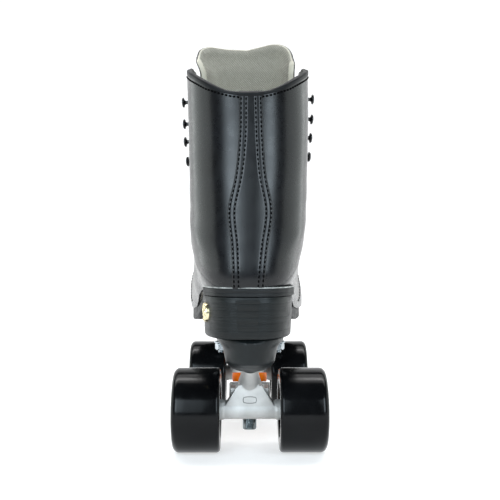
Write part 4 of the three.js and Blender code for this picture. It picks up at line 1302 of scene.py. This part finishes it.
def hub_spokes():
    """Low ridges on the hub's outer face, from its rim to the bearing's seat."""
    ridge = [[1.0, 0.0], [0.7, 0.75], [0, 0.95], [-0.7, 0.75], [-1.0, 0.0], [-1.0, -2.5], [1.0, -2.5]]
    spokes = []
    for w in around(HUB_SPOKES):
        out = np.array([0, math.cos(w), math.sin(w)])
        across = np.array([0, -math.sin(w), math.cos(w)])
        rows = []
        for r, x in ((13.0, 45.0), (14.4, 45.3), (15.8, 46.1), (16.9, 46.9)):
            rows.append([out * r + across * a * 1.1 + (x + b, 0, 0) for a, b in ridge])
        spokes.append(tower(rows))
    return join(*spokes)


def build_wheel(end, side):
    body = f"wheel_{end}_{side}"
    label = f"{end}_{side}"
    axle_y = FRONT_AXLE_Y if end == "front" else REAR_AXLE_Y
    half_turn = Matrix.Rotation(math.pi, 4, "Z") if side == "left" else Matrix.Identity(4)
    put = putter(Matrix.Translation((0, axle_y, AXLE_Z)) @ half_turn, label)
    tyre = lathe(tyre_profile(), ORIGIN, X_AXIS, 160, True)
    put("tyre_cast", tyre, URETHANE, body, [f"tyre_{label}"], 50)
    hub = [[11.25, 21.9], [14.2, 21.9], [15.2, 23.2], [16.8, 23.2], [17.6, 22.2], [17.75, 24], [17.75, 47.6],
           [17.2, 48.4], [16.2, 48.2], [15.4, 45.6], [13.6, 44.6], [12.9, 46.1], [11.25, 46.1], [11.25, 37.9],
           [8.6, 37.9], [8.6, 29.8], [11.25, 29.8]]
    put("hub_core", turned(hub, 0.35, ORIGIN, X_AXIS, 96), HUB, body, [f"hub_{label}"])
    put("hub_ribs", hub_spokes(), HUB, body, (), 60)
    for x, word in ((22.6, "inner"), (38.1, "outer")):
        parts = []
        # Each bearing's outer race, shield, inner race and snap ring: [radii, places along X, rounding].
        for (r0, r1), (x0, x1), corner in (((9.3, 11.0), (0, 7), 0.3), ((6.3, 9.5), (0.5, 6.5), 0.15),
                                           ((4.15, 6.1), (0, 7), 0.3), ((7.2, 8.4), (6.3, 6.75), 0.12)):
            section = [[r0, x + x0], [r1, x + x0], [r1, x + x1], [r0, x + x1]]
            parts.append(turned(section, corner, ORIGIN, X_AXIS, 72))
        put(f"ball_bearing_{word}", join(*parts), BEARING, body, [f"bearing_{word}_{label}"])
    nut = hex_nut(12.7, 4.2, ORIGIN, X_AXIS, 46.2, 51.3)
    collar = turned([[4.2, 50.8], [5.6, 50.8], [5.4, 52.2], [4.2, 52.4]], 0.3, ORIGIN, X_AXIS, 48)
    put("axle_locknut", join(nut, collar), STEEL, f"truck_{end}", [f"axle_nut_{label}"])


# ---------------------------------------------------------------- plate and toe stop


STEM_HALF = 22.35  # from the toe stop's datum down to the middle of its stem


def toe_axis():
    """A point on the toe stop's screw and its downward direction, from the record's own joint."""
    joint = next(j for j in frame["joints"] if j["name"] == "toe_stop_screw")
    down = np.array(joint["axis"], float)
    down /= np.linalg.norm(down)
    return centre_mm("toe_stop_stem") - down * STEM_HALF, down


def ellipse_loft(levels, sides=72):
    """A closed solid through level ellipses: [height, y, half width, half length]."""
    angle = around(sides)
    c, s = np.cos(angle), np.sin(angle)
    return tower([np.stack([hx * c, y + hy * s, np.full(sides, z)], 1) for z, y, hx, hy in levels])


# The pivot housing under the plate: [height, distance behind the axle, half width, half length].
HOUSING = [[PLATE_TOP - 2, -28, 19.8, 24.8], [75.5, -28, 17.9, 23.8], [66, -28, 15.9, 21.7],
           [63, -26.8, 14.4, 16.5], [61, -25, 12, 13.2], [59.9, -24.5, 9.6, 11.4], [59.2, -24.5, 6, 8]]
MOUNT_BOLTS = ("rear_left", "rear_right", "front_left", "front_right")


def build_plate():
    r, f = REAR_AXLE_Y, FRONT_AXLE_Y
    half = [[0, r - 51], [12, r - 48], [20, r - 35], [23, r - 12], [23.5, r + 12], [19.5, r + 36],
            [14.5, r + 60], [16, f - 66], [27, f - 50], [33, f - 30], [33, f + 4], [28, f + 28], [17, f + 48],
            [0, f + 57]]
    outline = closed_curve(half + [[-x, y] for x, y in half[1:-1][::-1]], 200)
    rows = []
    top = PLATE_TOP
    for z, share, grow in ((top, 1, -0.5), (top - 0.5, 1, 0), (top - 2.5, 1, 0), (75.5, 0.84, 0)):
        o = outline_offset(outline, grow)
        rows.append(np.column_stack([o[:, 0] * share, o[:, 1], np.full(len(o), z)]))
    parts = [tower(rows)]
    mid = (r + f) / 2
    parts.append(ellipse_loft([(76.5, mid, 12, 68), (70, mid, 10.4, 62), (62, mid, 8, 54)]))
    # Cross ribs stiffen the underside between the trucks.
    for y in np.linspace(mid - 44, mid + 44, 5):
        parts.append(prism_x([[y - 1.6, 77], [y + 1.6, 77], [y + 1.2, 69], [y - 1.2, 69]], 12.5))
    cutters = []
    housing = ellipse_loft([(z - AXLE_Z, y, half_x, half_y) for z, y, half_x, half_y in HOUSING])
    boss = lathe([[0, 16.3], [7.2, 16.3], [9.5, 24], [10, 40], [0, 40]], RING, KINGPIN, 64)
    cup_bore = lathe([[0, -8.3], [7.9, -8.3], [7.9, 40], [0, 40]], PIVOT, STEER, 56)
    pin_bore = lathe([[0, 10], [5.05, 10], [5.05, 31.3], [0, 31.3]], RING, KINGPIN, 48)
    for place in truck_frames().values():
        parts += [(move(v, place), faces) for v, faces in (housing, boss)]
        cutters += [(move(v, place), faces) for v, faces in (cup_bore, pin_bore)]
    at, down = toe_axis()
    parts.append(lathe([[0, -0.5], [13.5, -0.5], [13.5, 14.6], [0, 14.6]], at, down, 64))
    cutters.append(lathe([[0, -20], [8.25, -20], [8.25, 40], [0, 40]], at, down, 56))
    # Whatever stands above the plate's top is cut away.
    corners = ((-60, r - 80), (60, r - 80), (60, f + 80), (-60, f + 80))
    cutters.append(tower([[(x, y, z) for x, y in corners] for z in (PLATE_TOP, PLATE_TOP + 30)]))
    for node in MOUNT_BOLTS:
        x, y, _ = centre_mm(f"mount_bolt_{node}")
        cutters.append(lathe([[0, 50], [2.8, 50], [2.8, 100], [0, 100]], (x, y, 0), UP, 32))
    mesh = moulded(parts, cutters, 0.8, 5)
    add("plate_moulded", *mesh, NYLON, replaces=["plate"], sharp=50)


def build_bolts():
    """Each bolt comes down through the plate to a washer and a nut."""
    for node in MOUNT_BOLTS:
        name = f"mount_bolt_{node}"
        low, high = box_mm(name)
        foot = (*(low[:2] + high[:2]) / 2, 0)
        shank = [[0, low[2]], [2.0, low[2]], [2.45, low[2] + 0.5]]
        shank += thread_profile(2.5, low[2] + 0.5, 69.2, 0.8, 0.3)
        shank += [[2.5, 69.6], [2.5, high[2]], [0, high[2]]]
        washer = turned([[2.5, 74.1], [5.2, 74.1], [5.2, 75.2], [2.5, 75.2]], 0.25, foot, UP, 48)
        fixing = join(lathe(shank, foot, UP, 32), hex_nut(8.0, 2.5, foot, UP, 69.3, 74.0), washer)
        add(f"fixing_{node}", *fixing, STEEL, replaces=[name])


def build_toe_stop():
    at, down = toe_axis()
    pad = [[8.2, 29], [14.6, 29], [17.6, 31], [18.2, 33.2], [17.9, 34.2], [18.5, 34.9], [20.7, 43.6],
           [20.3, 44.2], [20.9, 44.9], [21, 47.6], [20.3, 49.2], [19.2, 50], [15.2, 50], [14.6, 49.3],
           [13.4, 49.3], [12.8, 50], [0, 50], [0, 43.9], [8.2, 43.9]]
    rubber = turned(pad, 0.8, at, down, 120)
    add("toe_stop_rubber", *rubber, SOLE, "toe_stop", replaces=["toe_stop_pad"], sharp=50)
    stem = [[0, 1.1], [6.9, 1.1], [7.7, 1.9]] + thread_profile(7.85, 2, 28.8, 1.4, 0.7)
    stem += [[7.2, 29], [7.8, 30], [7.8, 43.6], [0, 43.6]]
    add("toe_stop_screw_stem", *lathe(stem, at, down, 64), STEEL, "toe_stop", replaces=["toe_stop_stem"])
    nut = hex_nut(22.0, 8.25, at, down, 15.35, 21.5)
    add("toe_stop_locknut", *nut, STEEL, replaces=["toe_stop_nut"])


# ---------------------------------------------------------------- the whole skate
build_quarters()
build_vamp()
build_backstay()
build_binding()
build_eyestays()
build_eyelets()
build_hooks()
build_tongue()
build_sole()
build_heel()
build_stud()
build_insole()
hanger = hanger_mesh()
for end, place in truck_frames().items():
    build_truck(end, place, hanger)
    for side in ("left", "right"):
        build_wheel(end, side)
build_plate()
build_bolts()
build_toe_stop()


# ---------------------------------------------------------------- floor, light and camera
PAPER_START = -0.6  # metres along Y: the paper ends there, so that the dark room shows in the leather
PAPER_BEND = 2.6
BEND_RADIUS = 1.4


def build_stage():
    """A pale floor that sweeps up into a backdrop far in front of the skate."""
    n = Nodes("studio_paper")
    paper = n.finish(
        Base_Color=n.mix(n.spread(n.noise(3, 2), 0, 1), rgb(0.6, 0.6, 0.6), rgb(0.64, 0.64, 0.64)),
        Roughness=n.spread(n.noise(12, 2), 0.6, 0.75),
        Emission_Color=rgb(1, 1, 1),
        Emission_Strength=0.55,
    )
    sweep = [(PAPER_START, 0.0), (PAPER_BEND, 0.0)]
    for w in np.linspace(0.1, math.pi / 2, 14):
        sweep.append((PAPER_BEND + BEND_RADIUS * math.sin(w), BEND_RADIUS * (1 - math.cos(w))))
    sweep.append((PAPER_BEND + BEND_RADIUS, 4.5))
    mesh = bpy.data.meshes.new("studio_floor")
    mesh.from_pydata([(x, y, z) for y, z in sweep for x in (-5.0, 5.0)], [], grid_faces(len(sweep), 2))
    mesh.materials.append(paper)
    floor = link("studio_floor", mesh)
    smooth(floor, 60)


# The two soft boxes behind the skate: [name, x, y, width, watts], in metres.
SOFT_BOXES = (("soft_left", -0.76, -1.85, 1.5, 34), ("soft_right", 1.03, -1.71, 1.25, 28))
COOL = (0.78, 0.91, 1)
PALE = (0.93, 1, 0.98)


def area_light(name, place, target, size, power, colour=(1, 1, 1)):
    """A rectangular soft box. Places and sizes are in metres, power in watts."""
    light = bpy.data.lights.new(name, "AREA")
    light.shape = "RECTANGLE"
    light.size, light.size_y = size
    light.energy = power
    light.color = colour
    obj = link(name, light)
    obj.location = place
    obj.rotation_euler = (Vector(target) - Vector(place)).to_track_quat("-Z", "Y").to_euler()


def build_light():
    world = bpy.data.worlds.new("studio")
    bpy.context.scene.world = world
    world.use_nodes = True
    # The room is white to look at, but lights the skate only faintly, so that the soft boxes shape it.
    tree = world.node_tree
    back = tree.nodes["Background"]
    back.inputs["Color"].default_value = (0.93, 0.96, 1, 1)
    back.inputs["Strength"].default_value = 0.08
    white = tree.nodes.new("ShaderNodeBackground")
    white.inputs["Color"].default_value = (1, 1, 1, 1)
    path = tree.nodes.new("ShaderNodeLightPath")
    blend = tree.nodes.new("ShaderNodeMixShader")
    tree.links.new(path.outputs["Is Camera Ray"], blend.inputs[0])
    tree.links.new(back.outputs[0], blend.inputs[1])
    tree.links.new(white.outputs[0], blend.inputs[2])
    tree.links.new(blend.outputs[0], tree.nodes["World Output"].inputs[0])
    bpy.context.scene.view_settings.view_transform = "Standard"
    target = (0, 0, 0.13)
    # Each soft box is three boxes one inside another, so that its reflection fades out at the edges.
    for share, power in ((1.0, 0.36), (0.68, 0.34), (0.38, 0.3)):
        for name, x, y, width, watts in SOFT_BOXES:
            area_light(name, (x, y - 0.1 * share, 0.8), target, (width * share, 1.3), watts * power, COOL)
    area_light("side_left", (-2.0, 0.5, 0.25), target, (2.9, 1.6), 25, PALE)
    area_light("side_right", (2.0, 0.5, 0.25), target, (2.9, 1.6), 20, PALE)
    area_light("soft_top", (0, 0.45, 1.9), (0, 0.45, 0), (3.6, 1.2), 30)
    area_light("backdrop_wash", (0, 0.6, 3.2), (0, 2.9, 0.6), (4, 0.8), 75)


FOCAL_SHARE = 1.443  # the lens's focal length over the picture's width
SENSOR = 36
CAMERA = (-4, REAR_AXLE_Y - 496.7, 132.4)
CAMERA_TILT = 0.65  # degrees up from level
CAMERA_TURN = -0.48


def build_camera():
    """Behind the skate and a little below its middle, as in the photograph."""
    camera = bpy.data.cameras.new("camera")
    camera.sensor_width = SENSOR
    camera.lens = SENSOR * FOCAL_SHARE
    camera.clip_start, camera.clip_end = 0.02, 30
    obj = link("camera", camera)
    obj.location = [v * MM for v in CAMERA]
    obj.rotation_euler = (math.radians(90 + CAMERA_TILT), 0, math.radians(CAMERA_TURN))
    bpy.context.scene.camera = obj


build_stage()
build_light()
build_camera()
